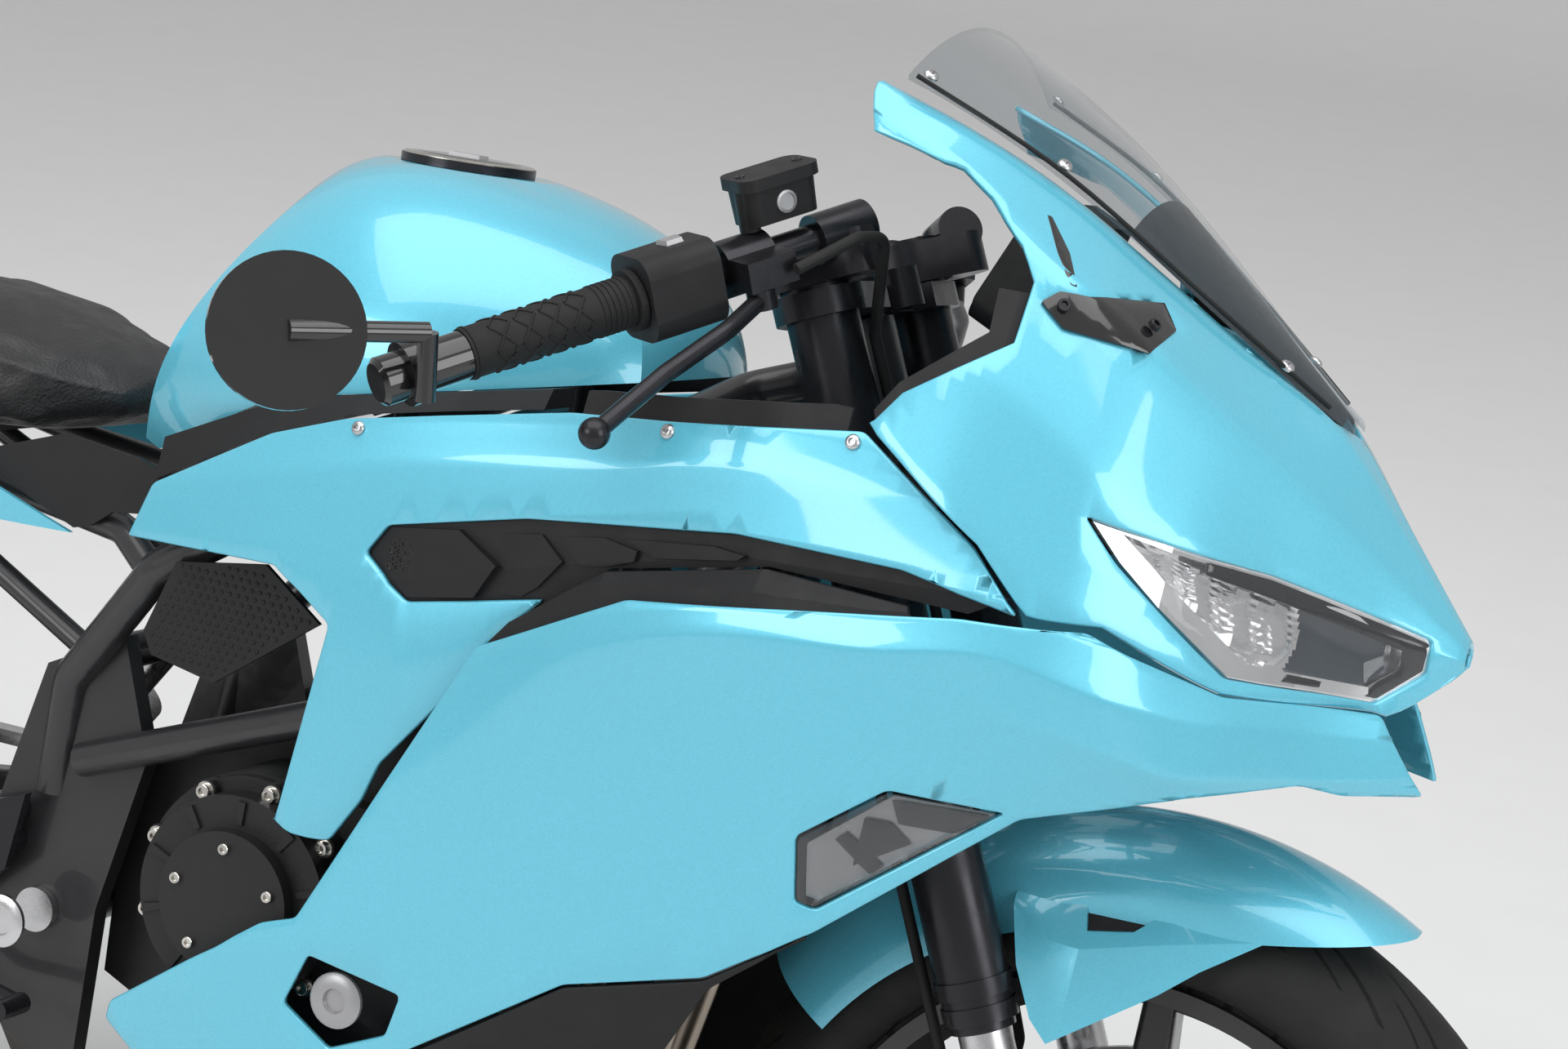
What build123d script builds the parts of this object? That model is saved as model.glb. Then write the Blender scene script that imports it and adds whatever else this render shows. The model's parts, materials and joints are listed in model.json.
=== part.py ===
"""Faired 400 cc sport bike, resting on its side stand.

Modelled upright: X forward, Y to the rider's left, Z up, ground at Z = 0, origin midway between the
axles. The finished pieces are then leaned onto the side stand and the origin is moved to the middle of
the footprint. Millimetres.
"""
from build123d import *
import math
import os

# ---------------------------------------------------------------- driving dimensions
WHEELBASE = 1380
FRONT_TYRE_RADIUS = 300
REAR_TYRE_RADIUS = 312
FRONT_TYRE_WIDTH = 118
REAR_TYRE_WIDTH = 158
FRONT_CROWN_RADIUS = 62
REAR_CROWN_RADIUS = 84
RIM_SEAT_RADIUS = 216
LEAN = 11
LEAN_TURN = math.radians(LEAN)
# the round rear tyre sinks by this much as the machine leans
LEAN_LIFT = REAR_CROWN_RADIUS * (1 - math.cos(LEAN_TURN))
RAKE = 23.5
TRAIL = 97
RUNNING_FIT = 0.05
SEAM = 0.3
PANEL_WALL = 4
SIDE_REACH = 320

FRONT_AXLE = Vector(WHEELBASE / 2, 0, FRONT_TYRE_RADIUS)
REAR_AXLE = Vector(-WHEELBASE / 2, 0, REAR_TYRE_RADIUS)
AXLE_RADIUS = 10
SWINGARM_PIVOT = Vector(-141, 0, 379)
PIVOT_SHAFT_RADIUS = 8.5

# steering: the axis meets the ground one trail ahead of the front contact point
STEERING_FOOT_X = FRONT_AXLE.X + TRAIL
STEERING = Plane(
    origin=(STEERING_FOOT_X, 0, 0),
    x_dir=(math.cos(math.radians(RAKE)), 0, math.sin(math.radians(RAKE))),
    z_dir=(-math.sin(math.radians(RAKE)), 0, math.cos(math.radians(RAKE))),
)
AXLE_LOCAL = STEERING.to_local_coords(FRONT_AXLE)
FORK_LEAD = 12.5
FORK_SPACING = 97
LOWER_CLAMP = 812
UPPER_CLAMP = 1004
STEM_RADIUS = 15
HEAD_TUBE_RADIUS = 27
OUTER_TUBE_RADIUS = 25
INNER_TUBE_RADIUS = 18.5


def mirrored_pair(piece):
    """Both hands of a right-hand piece as one part."""
    with BuildPart() as pair:
        add(piece)
        mirror(about=Plane.XZ)
    return pair.part


def bent_tube(points, radius, bend):
    """Round tube along straight runs joined by tangent arcs."""
    with BuildPart() as tube:
        with BuildLine() as route:
            if len(points) > 2:
                FilletPolyline(*points, radius=bend)
            else:
                Line(*points)
        with BuildSketch(Plane(origin=route.line @ 0, z_dir=route.line % 0)):
            Circle(radius)
        sweep(path=route.line)
    return tube.part


def side_plate(outline, inner_y, wall):
    """Right-hand plate with a side-view outline, its inner face at y = -inner_y."""
    with BuildPart() as plate:
        with BuildSketch(Plane.XZ.offset(inner_y)):
            with BuildLine():
                Polyline(*outline, close=True)
            make_face()
        extrude(amount=wall)
    return plate.part


def creased_skin(stations, inset, wall):
    """Right-hand skin lofted through thin folded sections, its outer face moved in by the inset.

    Columns of stations: x, then (half width, height) of each fold from the top edge to the foot.
    """
    with BuildPart() as skin:
        for x, *folds in stations:
            outer = [(inset - width, height) for width, height in folds]
            inner = [(inset + wall - width, height) for width, height in folds]
            with BuildSketch(Plane.YZ.offset(x)):
                with BuildLine():
                    Polyline(*outer, *reversed(inner), close=True)
                make_face()
        loft(ruled=True)
    return skin.part


def bowed_skin(stations, wall):
    """Right-hand skin lofted through thin bowed sections.

    Columns of stations: x, then (half width, height) of the top, middle and foot of the section.
    """
    with BuildPart() as skin:
        for x, top, middle, foot in stations:
            outer = [(-width, height) for width, height in (top, middle, foot)]
            inner = [(wall - width, height) for width, height in (top, middle, foot)]
            with BuildSketch(Plane.YZ.offset(x)):
                with BuildLine():
                    ThreePointArc(outer[0], outer[1], outer[2])
                    Line(outer[2], inner[2])
                    ThreePointArc(inner[2], inner[1], inner[0])
                    Line(inner[0], outer[0])
                make_face()
        loft()
    return skin.part


def trimmed_skin(skin, outline, holes=()):
    """The stretch of a right-hand skin inside a side-view outline, less its holes."""
    with BuildPart() as panel:
        with BuildSketch(Plane.XZ):
            with BuildLine():
                Polyline(*outline, close=True)
            make_face()
            for hole in holes:
                with BuildLine():
                    Polyline(*hole, close=True)
                make_face(mode=Mode.SUBTRACT)
        extrude(amount=SIDE_REACH)
        add(skin, mode=Mode.INTERSECT)
    return panel.part


def stay_length(panel, x, z, radius):
    """How far a round stay along -Y may reach from Y = 0 to end one seam short of a right-hand panel."""
    hits = panel.find_intersection_points(Axis((x, 0, z), (0, -1, 0)))
    point, normal = max((hit for hit in hits if hit[0].Y < 0), key=lambda hit: hit[0].Y)
    slope = math.hypot(normal.X, normal.Z) / abs(normal.Y)
    return -point.Y - SEAM - radius * slope


# ---------------------------------------------------------------- wheels
# columns: label, axle, tyre width, tyre radius, crown radius, rim width, hub half length
WHEELS = (
    ("front", FRONT_AXLE, FRONT_TYRE_WIDTH, FRONT_TYRE_RADIUS, FRONT_CROWN_RADIUS, 92, 62),
    ("rear", REAR_AXLE, REAR_TYRE_WIDTH, REAR_TYRE_RADIUS, REAR_CROWN_RADIUS, 120, 66),
)
RIM_FLANGE = 7
RIM_WALL = 6
RIM_DROP = 12
FLANGE_WIDTH = 6
SPOKES = 5
SPOKE_ROOT = (40, 46)
SPOKE_TIP = (24, 34)
HUB_RADIUS = 36
HUB_SPIGOT_RADIUS = 26
HUB_SPIGOT_LENGTH = 7
TYRE_BEAD_CLEARANCE = 0.3
TYRE_WALL_FOOT = 3
TYRE_SHOULDER = 3


def cast_rim(axle, rim_width, hub_half):
    """Five-spoke rim with drop centre, flanges and a bored hub."""
    half = rim_width / 2
    seat = RIM_SEAT_RADIUS
    with BuildPart() as rim:
        with BuildSketch(Plane(origin=axle, x_dir=(0, 1, 0), z_dir=(1, 0, 0))):
            with BuildLine():
                Polyline(
                    (-half, seat + RIM_FLANGE), (-half + FLANGE_WIDTH, seat + RIM_FLANGE),
                    (-half + FLANGE_WIDTH, seat), (-half / 2, seat), (-half / 4, seat - RIM_DROP),
                    (half / 4, seat - RIM_DROP), (half / 2, seat), (half - FLANGE_WIDTH, seat),
                    (half - FLANGE_WIDTH, seat + RIM_FLANGE), (half, seat + RIM_FLANGE),
                    (half, seat - RIM_WALL), (half / 2, seat - RIM_WALL),
                    (half / 4, seat - RIM_DROP - RIM_WALL), (-half / 4, seat - RIM_DROP - RIM_WALL),
                    (-half / 2, seat - RIM_WALL), (-half, seat - RIM_WALL), close=True,
                )
            make_face()
        revolve(axis=Axis((axle.X, 0, axle.Z), (0, 1, 0)))
        with BuildSketch(Plane.XZ.offset(-hub_half)):
            with Locations((axle.X, axle.Z)):
                Circle(HUB_RADIUS)
        extrude(amount=2 * hub_half)
        with BuildSketch(Plane.XZ.offset(-hub_half - HUB_SPIGOT_LENGTH)):
            with Locations((axle.X, axle.Z)):
                Circle(HUB_SPIGOT_RADIUS)
        extrude(amount=2 * (hub_half + HUB_SPIGOT_LENGTH))
        for spoke in range(SPOKES):
            turn = math.radians(90 + spoke * 360 / SPOKES)
            outward = Vector(math.cos(turn), 0, math.sin(turn))
            for reach, (width, depth) in ((HUB_RADIUS - 8, SPOKE_ROOT), (seat - 14, SPOKE_TIP)):
                with BuildSketch(Plane(origin=axle + outward * reach, x_dir=(0, 1, 0), z_dir=outward)):
                    RectangleRounded(depth, width, width / 4)
            loft()
        with BuildSketch(Plane.XZ.offset(-hub_half - HUB_SPIGOT_LENGTH)):
            with Locations((axle.X, axle.Z)):
                Circle(AXLE_RADIUS + RUNNING_FIT)
        extrude(amount=2 * (hub_half + HUB_SPIGOT_LENGTH), mode=Mode.SUBTRACT)
    return rim.part


def road_tyre(axle, width, radius, crown_radius, rim_width):
    """Tyre ring: round crown, bowed sidewalls and beads on the rim seat."""
    half = width / 2
    bead = rim_width / 2 - FLANGE_WIDTH - TYRE_BEAD_CLEARANCE
    bore = RIM_SEAT_RADIUS + TYRE_BEAD_CLEARANCE
    wall_foot = bore + RIM_FLANGE + TYRE_WALL_FOOT
    shoulder_y = half - TYRE_SHOULDER
    shoulder_r = radius - crown_radius + math.sqrt(crown_radius**2 - shoulder_y**2)
    with BuildPart() as tyre:
        with BuildSketch(Plane(origin=axle, x_dir=(0, 1, 0), z_dir=(1, 0, 0))):
            with BuildLine():
                ThreePointArc((-shoulder_y, shoulder_r), (0, radius), (shoulder_y, shoulder_r))
                ThreePointArc((shoulder_y, shoulder_r), (half, (shoulder_r + wall_foot) / 2),
                              (bead, wall_foot))
                Polyline((bead, wall_foot), (bead, bore), (-bead, bore), (-bead, wall_foot))
                ThreePointArc((-bead, wall_foot), (-half, (shoulder_r + wall_foot) / 2),
                              (-shoulder_y, shoulder_r))
            make_face()
        revolve(axis=Axis((axle.X, 0, axle.Z), (0, 1, 0)))
    return tyre.part


DISC_HOLES = 20
DISC_HOLE_RADIUS = 4.5
DISC_THICKNESS = 4.5
CARRIER_ARMS = 5
# columns: rim, inboard side (+1 left, -1 right), outer radius, inner radius
DISCS = (("front", -1, 145, 106), ("front", 1, 145, 106), ("rear", -1, 110, 78))
SPROCKET_TEETH = 46
DRIVE_TEETH = 14
CHAIN_PITCH = 15.875
CHAIN_LINE = 94
CHAIN_WIDTH = 18
CHAIN_HALF_HEIGHT = 6
SPROCKET_THICKNESS = 6
DRIVE_SPROCKET = Vector(-72, CHAIN_LINE, 405)
SPROCKET_RADIUS = CHAIN_PITCH / 2 / math.sin(math.pi / SPROCKET_TEETH)
DRIVE_RADIUS = CHAIN_PITCH / 2 / math.sin(math.pi / DRIVE_TEETH)
CHAIN_CLEARANCE = 0.8


def brake_disc(axle, face, side, radius, inner_radius):
    """Drilled disc on an open carrier; face is the distance of its inboard face from the middle."""
    inboard = Plane(origin=(axle.X, side * face, axle.Z), x_dir=(1, 0, 0), z_dir=(0, side, 0))
    with BuildPart() as disc:
        with BuildSketch(inboard):
            Circle(radius)
            Circle(inner_radius, mode=Mode.SUBTRACT)
            with PolarLocations((radius + inner_radius) / 2, DISC_HOLES):
                Circle(DISC_HOLE_RADIUS, mode=Mode.SUBTRACT)
            with PolarLocations((inner_radius + HUB_RADIUS) / 2, CARRIER_ARMS):
                Rectangle(inner_radius - HUB_RADIUS + 16, 22)
            Circle(HUB_RADIUS + 2)
            Circle(HUB_SPIGOT_RADIUS + RUNNING_FIT, mode=Mode.SUBTRACT)
        extrude(amount=DISC_THICKNESS)
    return disc.part


rims = {}
tyres = {}
hubs = {}
axles = {}
for label, axle, width, radius, crown, rim_width, hub_half in WHEELS:
    rims[label] = cast_rim(axle, rim_width, hub_half)
    tyres[label] = road_tyre(axle, width, radius, crown, rim_width)
    hubs[label] = hub_half
    axles[label] = axle

discs = {"front": [], "rear": []}
for label, side, radius, inner_radius in DISCS:
    discs[label].append(brake_disc(axles[label], hubs[label], side, radius, inner_radius))

with BuildPart() as front_discs:
    for disc in discs["front"]:
        add(disc)

with BuildPart() as rear_disc:
    add(discs["rear"][0])

with BuildPart() as rear_sprocket:
    sprocket_face = CHAIN_LINE - SPROCKET_THICKNESS / 2
    with BuildSketch(Plane.XZ.offset(-sprocket_face - SPROCKET_THICKNESS)):
        with Locations((REAR_AXLE.X, REAR_AXLE.Z)):
            Circle(SPROCKET_RADIUS - CHAIN_HALF_HEIGHT - CHAIN_CLEARANCE)
            with PolarLocations(SPROCKET_RADIUS - 42, CARRIER_ARMS):
                Circle(20, mode=Mode.SUBTRACT)
            Circle(AXLE_RADIUS + RUNNING_FIT, mode=Mode.SUBTRACT)
    extrude(amount=SPROCKET_THICKNESS)
    with BuildSketch(Plane.XZ.offset(-sprocket_face)):
        with Locations((REAR_AXLE.X, REAR_AXLE.Z)):
            Circle(HUB_RADIUS + 22)
            Circle(AXLE_RADIUS + RUNNING_FIT, mode=Mode.SUBTRACT)
    extrude(amount=sprocket_face - hubs["rear"] - HUB_SPIGOT_LENGTH)

with BuildPart() as chain:
    for growth, mode in ((CHAIN_HALF_HEIGHT, Mode.ADD), (-CHAIN_HALF_HEIGHT, Mode.SUBTRACT)):
        with BuildSketch(Plane.XZ.offset(-CHAIN_LINE - CHAIN_WIDTH / 2)):
            with Locations((REAR_AXLE.X, REAR_AXLE.Z)):
                Circle(SPROCKET_RADIUS + growth)
            with Locations((DRIVE_SPROCKET.X, DRIVE_SPROCKET.Z)):
                Circle(DRIVE_RADIUS + growth)
            make_hull()
        extrude(amount=CHAIN_WIDTH, mode=mode)

# ---------------------------------------------------------------- fork and triple clamps
# side view of the steering assembly: local x ahead of the steering axis, local y up along it
STEERING_SIDE = Plane(origin=STEERING.origin, x_dir=STEERING.x_dir, z_dir=(0, -1, 0))
FORK_LEG = (FORK_LEAD, -FORK_SPACING)
# columns: from, to, radius along the outer tube
OUTER_TUBE_STEPS = (
    (516, 522, 22.5), (522, 534, 26), (534, 540, 24.5), (540, 552, 27), (552, 640, 25.5),
    (640, 650, 27), (650, 1058, OUTER_TUBE_RADIUS),
)
OUTER_TUBE_DEPTH = 190
FORK_FIT = 0.3
INNER_TUBE_TOP = 690
INNER_TUBE_FOOT = 352
AXLE_CLAMP_RADIUS = 23
AXLE_CLAMP_INNER = 79
AXLE_CLAMP_WIDTH = 36
CALIPER_ANGLE = 146
CALIPER_REACH = 112
CALIPER_INNER = 40
CALIPER_WIDTH = 52
CALIPER_CENTRE = (AXLE_LOCAL.X + CALIPER_REACH * math.cos(math.radians(CALIPER_ANGLE)),
                  AXLE_LOCAL.Z + CALIPER_REACH * math.sin(math.radians(CALIPER_ANGLE)))

with BuildPart() as outer_tube:
    for start, end, radius in OUTER_TUBE_STEPS:
        with BuildSketch(STEERING.offset(start)):
            with Locations(FORK_LEG):
                Circle(radius)
        extrude(amount=end - start)
    with BuildSketch(STEERING.offset(OUTER_TUBE_STEPS[0][0])):
        with Locations(FORK_LEG):
            Circle(INNER_TUBE_RADIUS + FORK_FIT)
    extrude(amount=OUTER_TUBE_DEPTH, mode=Mode.SUBTRACT)

with BuildPart() as fork_outer_tubes:
    add(mirrored_pair(outer_tube.part))

with BuildPart() as fork_leg:
    with BuildSketch(STEERING.offset(INNER_TUBE_FOOT)):
        with Locations(FORK_LEG):
            Circle(INNER_TUBE_RADIUS)
    extrude(amount=INNER_TUBE_TOP - INNER_TUBE_FOOT)
    with BuildSketch(STEERING_SIDE.offset(AXLE_CLAMP_INNER)):
        with Locations((AXLE_LOCAL.X, AXLE_LOCAL.Z)):
            Circle(AXLE_CLAMP_RADIUS)
        with Locations((FORK_LEAD, INNER_TUBE_FOOT + 62)):
            Circle(INNER_TUBE_RADIUS + 4)
        make_hull()
    extrude(amount=AXLE_CLAMP_WIDTH)
    # lug that carries the caliper on its outer face
    with BuildSketch(STEERING_SIDE.offset(CALIPER_INNER + CALIPER_WIDTH + SEAM)):
        with Locations((FORK_LEAD - 6, CALIPER_CENTRE[1] + 46), (FORK_LEAD, CALIPER_CENTRE[1] - 30)):
            Circle(12)
        with Locations(CALIPER_CENTRE):
            Circle(20)
        make_hull()
    extrude(amount=10)
    with BuildSketch(STEERING_SIDE.offset(AXLE_CLAMP_INNER)):
        with Locations((AXLE_LOCAL.X, AXLE_LOCAL.Z)):
            Circle(AXLE_RADIUS + FORK_FIT)
    extrude(amount=AXLE_CLAMP_WIDTH, mode=Mode.SUBTRACT)

with BuildPart() as fork_legs:
    add(mirrored_pair(fork_leg.part))

AXLE_OVERHANG = 3
with BuildPart() as front_axle:
    axle_half = AXLE_CLAMP_INNER + AXLE_CLAMP_WIDTH + AXLE_OVERHANG
    with BuildSketch(Plane.XZ.offset(-axle_half)):
        with Locations((FRONT_AXLE.X, FRONT_AXLE.Z)):
            Circle(AXLE_RADIUS)
    extrude(amount=2 * axle_half)
    for side in (-1, 1):
        spacer = AXLE_CLAMP_INNER - hubs["front"] - HUB_SPIGOT_LENGTH - 2 * SEAM
        face = Plane(origin=(FRONT_AXLE.X, side * (AXLE_CLAMP_INNER - SEAM), FRONT_AXLE.Z),
                     x_dir=(1, 0, 0), z_dir=(0, -side, 0))
        with BuildSketch(face):
            Circle(AXLE_RADIUS + 8)
        extrude(amount=spacer)

CLAMP_FIT = 0.1
LOWER_CLAMP_HEIGHT = 30
UPPER_CLAMP_HEIGHT = 18
STEM_NUT_HEIGHT = 10
IGNITION_LEAD = 38
IGNITION_RADIUS = 14
IGNITION_RISE = 10
with BuildPart() as triple_clamps:
    for start, height, boss in ((LOWER_CLAMP, LOWER_CLAMP_HEIGHT, 34), (UPPER_CLAMP, UPPER_CLAMP_HEIGHT, 32)):
        with BuildSketch(STEERING.offset(start)):
            with Locations((FORK_LEAD, -FORK_SPACING), (FORK_LEAD, FORK_SPACING)):
                Circle(boss)
            with Locations((-6, 0)):
                Circle(boss)
            make_hull()
            with Locations((FORK_LEAD, -FORK_SPACING), (FORK_LEAD, FORK_SPACING)):
                Circle(OUTER_TUBE_RADIUS + CLAMP_FIT, mode=Mode.SUBTRACT)
            with Locations((FORK_LEAD + boss, 0)):
                Rectangle(boss, FORK_SPACING, mode=Mode.SUBTRACT)
            if start == UPPER_CLAMP:
                Circle(STEM_RADIUS + CLAMP_FIT, mode=Mode.SUBTRACT)
        extrude(amount=height)
    with BuildSketch(STEERING.offset(LOWER_CLAMP)):
        Circle(STEM_RADIUS)
    extrude(amount=UPPER_CLAMP + UPPER_CLAMP_HEIGHT + 2 - LOWER_CLAMP)
    # stem nut and ignition barrel
    with BuildSketch(STEERING.offset(UPPER_CLAMP + UPPER_CLAMP_HEIGHT)):
        RegularPolygon(radius=STEM_RADIUS + 5, side_count=6)
    extrude(amount=STEM_NUT_HEIGHT)
    with BuildSketch(STEERING.offset(UPPER_CLAMP)):
        with Locations((IGNITION_LEAD, 0)):
            Circle(IGNITION_RADIUS)
    extrude(amount=UPPER_CLAMP_HEIGHT + IGNITION_RISE)

# ---------------------------------------------------------------- handlebars (right hand, mirrored)
BAR_ROOT = Vector(411, -112, 988)
BAR_DIRECTION = Vector(-100, -140, -69).normalized()
BAR_PLANE = Plane(origin=BAR_ROOT, x_dir=(0.8, -0.571, 0), z_dir=BAR_DIRECTION)
BAR_LOCAL = STEERING.to_local_coords(BAR_ROOT)
BAR_RADIUS = 11
BAR_LENGTH = 288
GRIP_START = 166
GRIP_LENGTH = 122
GRIP_RADIUS = 16.5
BAR_END_LENGTH = 60
BAR_END_RADIUS = 15.5
CLIP_RING_START = 1025
CLIP_RING_HEIGHT = 30

with BuildPart() as clip_on:
    with BuildSketch(STEERING.offset(CLIP_RING_START)):
        with Locations(FORK_LEG):
            Circle(OUTER_TUBE_RADIUS + 8)
        with Locations((BAR_LOCAL.X, BAR_LOCAL.Y)):
            Circle(BAR_RADIUS + 8)
        make_hull()
    extrude(amount=CLIP_RING_HEIGHT)
    with BuildSketch(BAR_PLANE.offset(-14)):
        Circle(BAR_RADIUS + 6)
    extrude(amount=42)
    with BuildSketch(BAR_PLANE):
        Circle(BAR_RADIUS)
    extrude(amount=BAR_LENGTH)
    with BuildSketch(STEERING.offset(CLIP_RING_START)):
        with Locations(FORK_LEG):
            Circle(OUTER_TUBE_RADIUS + CLAMP_FIT)
    extrude(amount=2 * CLIP_RING_HEIGHT, mode=Mode.SUBTRACT)

with BuildPart() as clip_ons:
    add(mirrored_pair(clip_on.part))

with BuildPart() as grip:
    with BuildSketch(BAR_PLANE.offset(GRIP_START)):
        Circle(GRIP_RADIUS + 4)
    extrude(amount=5)
    with BuildSketch(BAR_PLANE.offset(GRIP_START)):
        Circle(GRIP_RADIUS)
    extrude(amount=GRIP_LENGTH)
    with BuildSketch(BAR_PLANE.offset(GRIP_START)):
        Circle(BAR_RADIUS + CLAMP_FIT)
    extrude(amount=GRIP_LENGTH, mode=Mode.SUBTRACT)

with BuildPart() as grips:
    add(mirrored_pair(grip.part))

with BuildPart() as bar_end:
    with BuildSketch(BAR_PLANE.offset(GRIP_START + GRIP_LENGTH + SEAM)):
        Circle(BAR_END_RADIUS)
    extrude(amount=BAR_END_LENGTH)
    chamfer(bar_end.faces().sort_by(Axis.Y)[0].edges(), 3)

SWITCH_START = 112
SWITCH_LENGTH = 53
with BuildPart() as switch_housing:
    with BuildSketch(BAR_PLANE.offset(SWITCH_START)):
        RectangleRounded(50, 56, 14)
        Circle(BAR_RADIUS + CLAMP_FIT, mode=Mode.SUBTRACT)
    extrude(amount=SWITCH_LENGTH)

with BuildPart() as switch_housings:
    add(mirrored_pair(switch_housing.part))

MIRROR_CLAMP_START = GRIP_START + GRIP_LENGTH + 30
MIRROR_CLAMP_WIDTH = 12
MIRROR_CLAMP_CENTRE = BAR_ROOT + BAR_DIRECTION * (MIRROR_CLAMP_START + MIRROR_CLAMP_WIDTH / 2)
MIRROR_STEM_FOOT = MIRROR_CLAMP_CENTRE + BAR_PLANE.x_dir * (BAR_END_RADIUS + 8) + Vector(0, 0, -14)
MIRROR_STEM_HEAD = MIRROR_STEM_FOOT + Vector(0, -8, 42)
MIRROR_CENTRE = Vector(200, -446, 888)
MIRROR_NORMAL = Vector(0.62, -0.75, 0.2).normalized()
MIRROR_RADIUS = 47
MIRROR_STEM_RADIUS = 6.5
MIRROR_THICKNESS = 7
MIRROR_PLANE = Plane(origin=MIRROR_CENTRE, z_dir=MIRROR_NORMAL)

with BuildPart() as bar_mirror:
    # clamp ring round the bar end, stem, cranked arm and a round mirror head
    with BuildSketch(BAR_PLANE.offset(MIRROR_CLAMP_START)):
        Circle(BAR_END_RADIUS + 5)
        Circle(BAR_END_RADIUS + SEAM, mode=Mode.SUBTRACT)
    extrude(amount=MIRROR_CLAMP_WIDTH)
    for start, end in ((MIRROR_STEM_FOOT, MIRROR_STEM_HEAD), (MIRROR_STEM_HEAD, MIRROR_CENTRE)):
        with BuildSketch(Plane(origin=start, z_dir=end - start)):
            Circle(MIRROR_STEM_RADIUS)
        extrude(amount=(end - start).length)
    with BuildSketch(MIRROR_PLANE):
        Circle(MIRROR_RADIUS)
    extrude(amount=-MIRROR_THICKNESS)

with BuildPart() as bar_mirrors:
    add(mirrored_pair(bar_end.part))
    add(mirrored_pair(bar_mirror.part))

# ---------------------------------------------------------------- brake and clutch controls
PERCH_START = 66
PERCH_LENGTH = 36
PERCH_HALF = 10
PERCH_RADIUS = BAR_RADIUS + 8
PERCH_REACH = 40
LEVER_PIVOT = (30, PERCH_START + PERCH_LENGTH - 12)
LEVER_RADIUS = 6
LEVER_BOSS_RADIUS = 10
LEVER_BOSS_HEIGHT = 13
LEVER_BALL_RADIUS = 10
BAR_UP = BAR_PLANE.y_dir
LEVER_ROOT = BAR_ROOT + BAR_PLANE.x_dir * LEVER_PIVOT[0] + BAR_DIRECTION * LEVER_PIVOT[1]
LEVER_HINGE = LEVER_ROOT - BAR_UP * (PERCH_HALF + SEAM)
LEVER_START = LEVER_HINGE - BAR_UP * LEVER_BOSS_HEIGHT / 2
# lever blade beyond its pivot, right hand
LEVER_ROUTE = (LEVER_START, (388, -236, 918), (370, -282, 888), (352, -332, 850))

with BuildPart() as perch:
    # clamp round the bar with the arm that carries the lever pivot
    with BuildSketch(BAR_PLANE.offset(PERCH_START)):
        Circle(PERCH_RADIUS)
        with Locations((PERCH_REACH / 2, 0)):
            Rectangle(PERCH_REACH, 2 * PERCH_HALF)
        Circle(BAR_RADIUS + CLAMP_FIT, mode=Mode.SUBTRACT)
    extrude(amount=PERCH_LENGTH)

with BuildPart() as lever_perches:
    add(mirrored_pair(perch.part))

with BuildPart() as lever:
    with BuildSketch(Plane(origin=LEVER_HINGE, x_dir=BAR_DIRECTION, z_dir=-BAR_UP)):
        Circle(LEVER_BOSS_RADIUS)
    extrude(amount=LEVER_BOSS_HEIGHT)
    with BuildLine() as lever_route:
        FilletPolyline(*LEVER_ROUTE, radius=40)
    with BuildSketch(Plane(origin=lever_route.line @ 0, z_dir=lever_route.line % 0)):
        Circle(LEVER_RADIUS)
    sweep(path=lever_route.line)
    with Locations(LEVER_ROUTE[-1]):
        Sphere(LEVER_BALL_RADIUS)

with BuildPart() as levers:
    add(mirrored_pair(lever.part))

RESERVOIR_START = 51
RESERVOIR_OFFSET = -2
RESERVOIR_RISE = 23
RESERVOIR_HEIGHT = 24
RESERVOIR_LID = 8
RESERVOIR_SIZE = (52, 30)
RESERVOIR_LID_SIZE = (60, 38)
RESERVOIR_PLANE = Plane(
    origin=BAR_ROOT + BAR_DIRECTION * RESERVOIR_START + BAR_PLANE.x_dir * RESERVOIR_OFFSET + BAR_UP * RESERVOIR_RISE,
    x_dir=BAR_DIRECTION, z_dir=BAR_UP)
MASTER_RADIUS = 7
with BuildPart() as master_cylinder:
    # reservoir with an overhanging lid, on a port above the lever's clamp; right side only
    with BuildSketch(RESERVOIR_PLANE):
        RectangleRounded(*RESERVOIR_SIZE, 8)
    extrude(amount=RESERVOIR_HEIGHT, taper=-3)
    with BuildSketch(RESERVOIR_PLANE.offset(RESERVOIR_HEIGHT)):
        RectangleRounded(*RESERVOIR_LID_SIZE, 10)
    extrude(amount=RESERVOIR_LID)
    port = BAR_ROOT + BAR_DIRECTION * (PERCH_START + MASTER_RADIUS) + BAR_UP * (PERCH_RADIUS + SEAM)
    with BuildSketch(Plane(origin=port, z_dir=BAR_UP)):
        Circle(MASTER_RADIUS)
    extrude(amount=RESERVOIR_RISE + RESERVOIR_HEIGHT - PERCH_RADIUS)

# ---------------------------------------------------------------- instrument, front fender, calipers
INSTRUMENT_PLANE = Plane(origin=(508, 0, 985), x_dir=(0.42, 0, 0.907), z_dir=(-0.907, 0, 0.42))
INSTRUMENT_DEPTH = 30
with BuildPart() as instrument:
    with BuildSketch(INSTRUMENT_PLANE):
        RectangleRounded(92, 156, 16)
    extrude(amount=-INSTRUMENT_DEPTH)
    with BuildSketch(INSTRUMENT_PLANE):
        RectangleRounded(78, 140, 10)
    extrude(amount=3)

FENDER_CROWN = 328
FENDER_WALL = 3
FENDER_HALF_WIDTH = 66
FENDER_LIP_RADIUS = 258
FENDER_FRONT_ANGLE = 61
FENDER_REAR_ANGLE = 148
# lower front edge, seen from the side
FENDER_LIP = ((702, 528), (725, 548), (760, 573), (862, 591), (900, 400), (702, 400))
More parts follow.
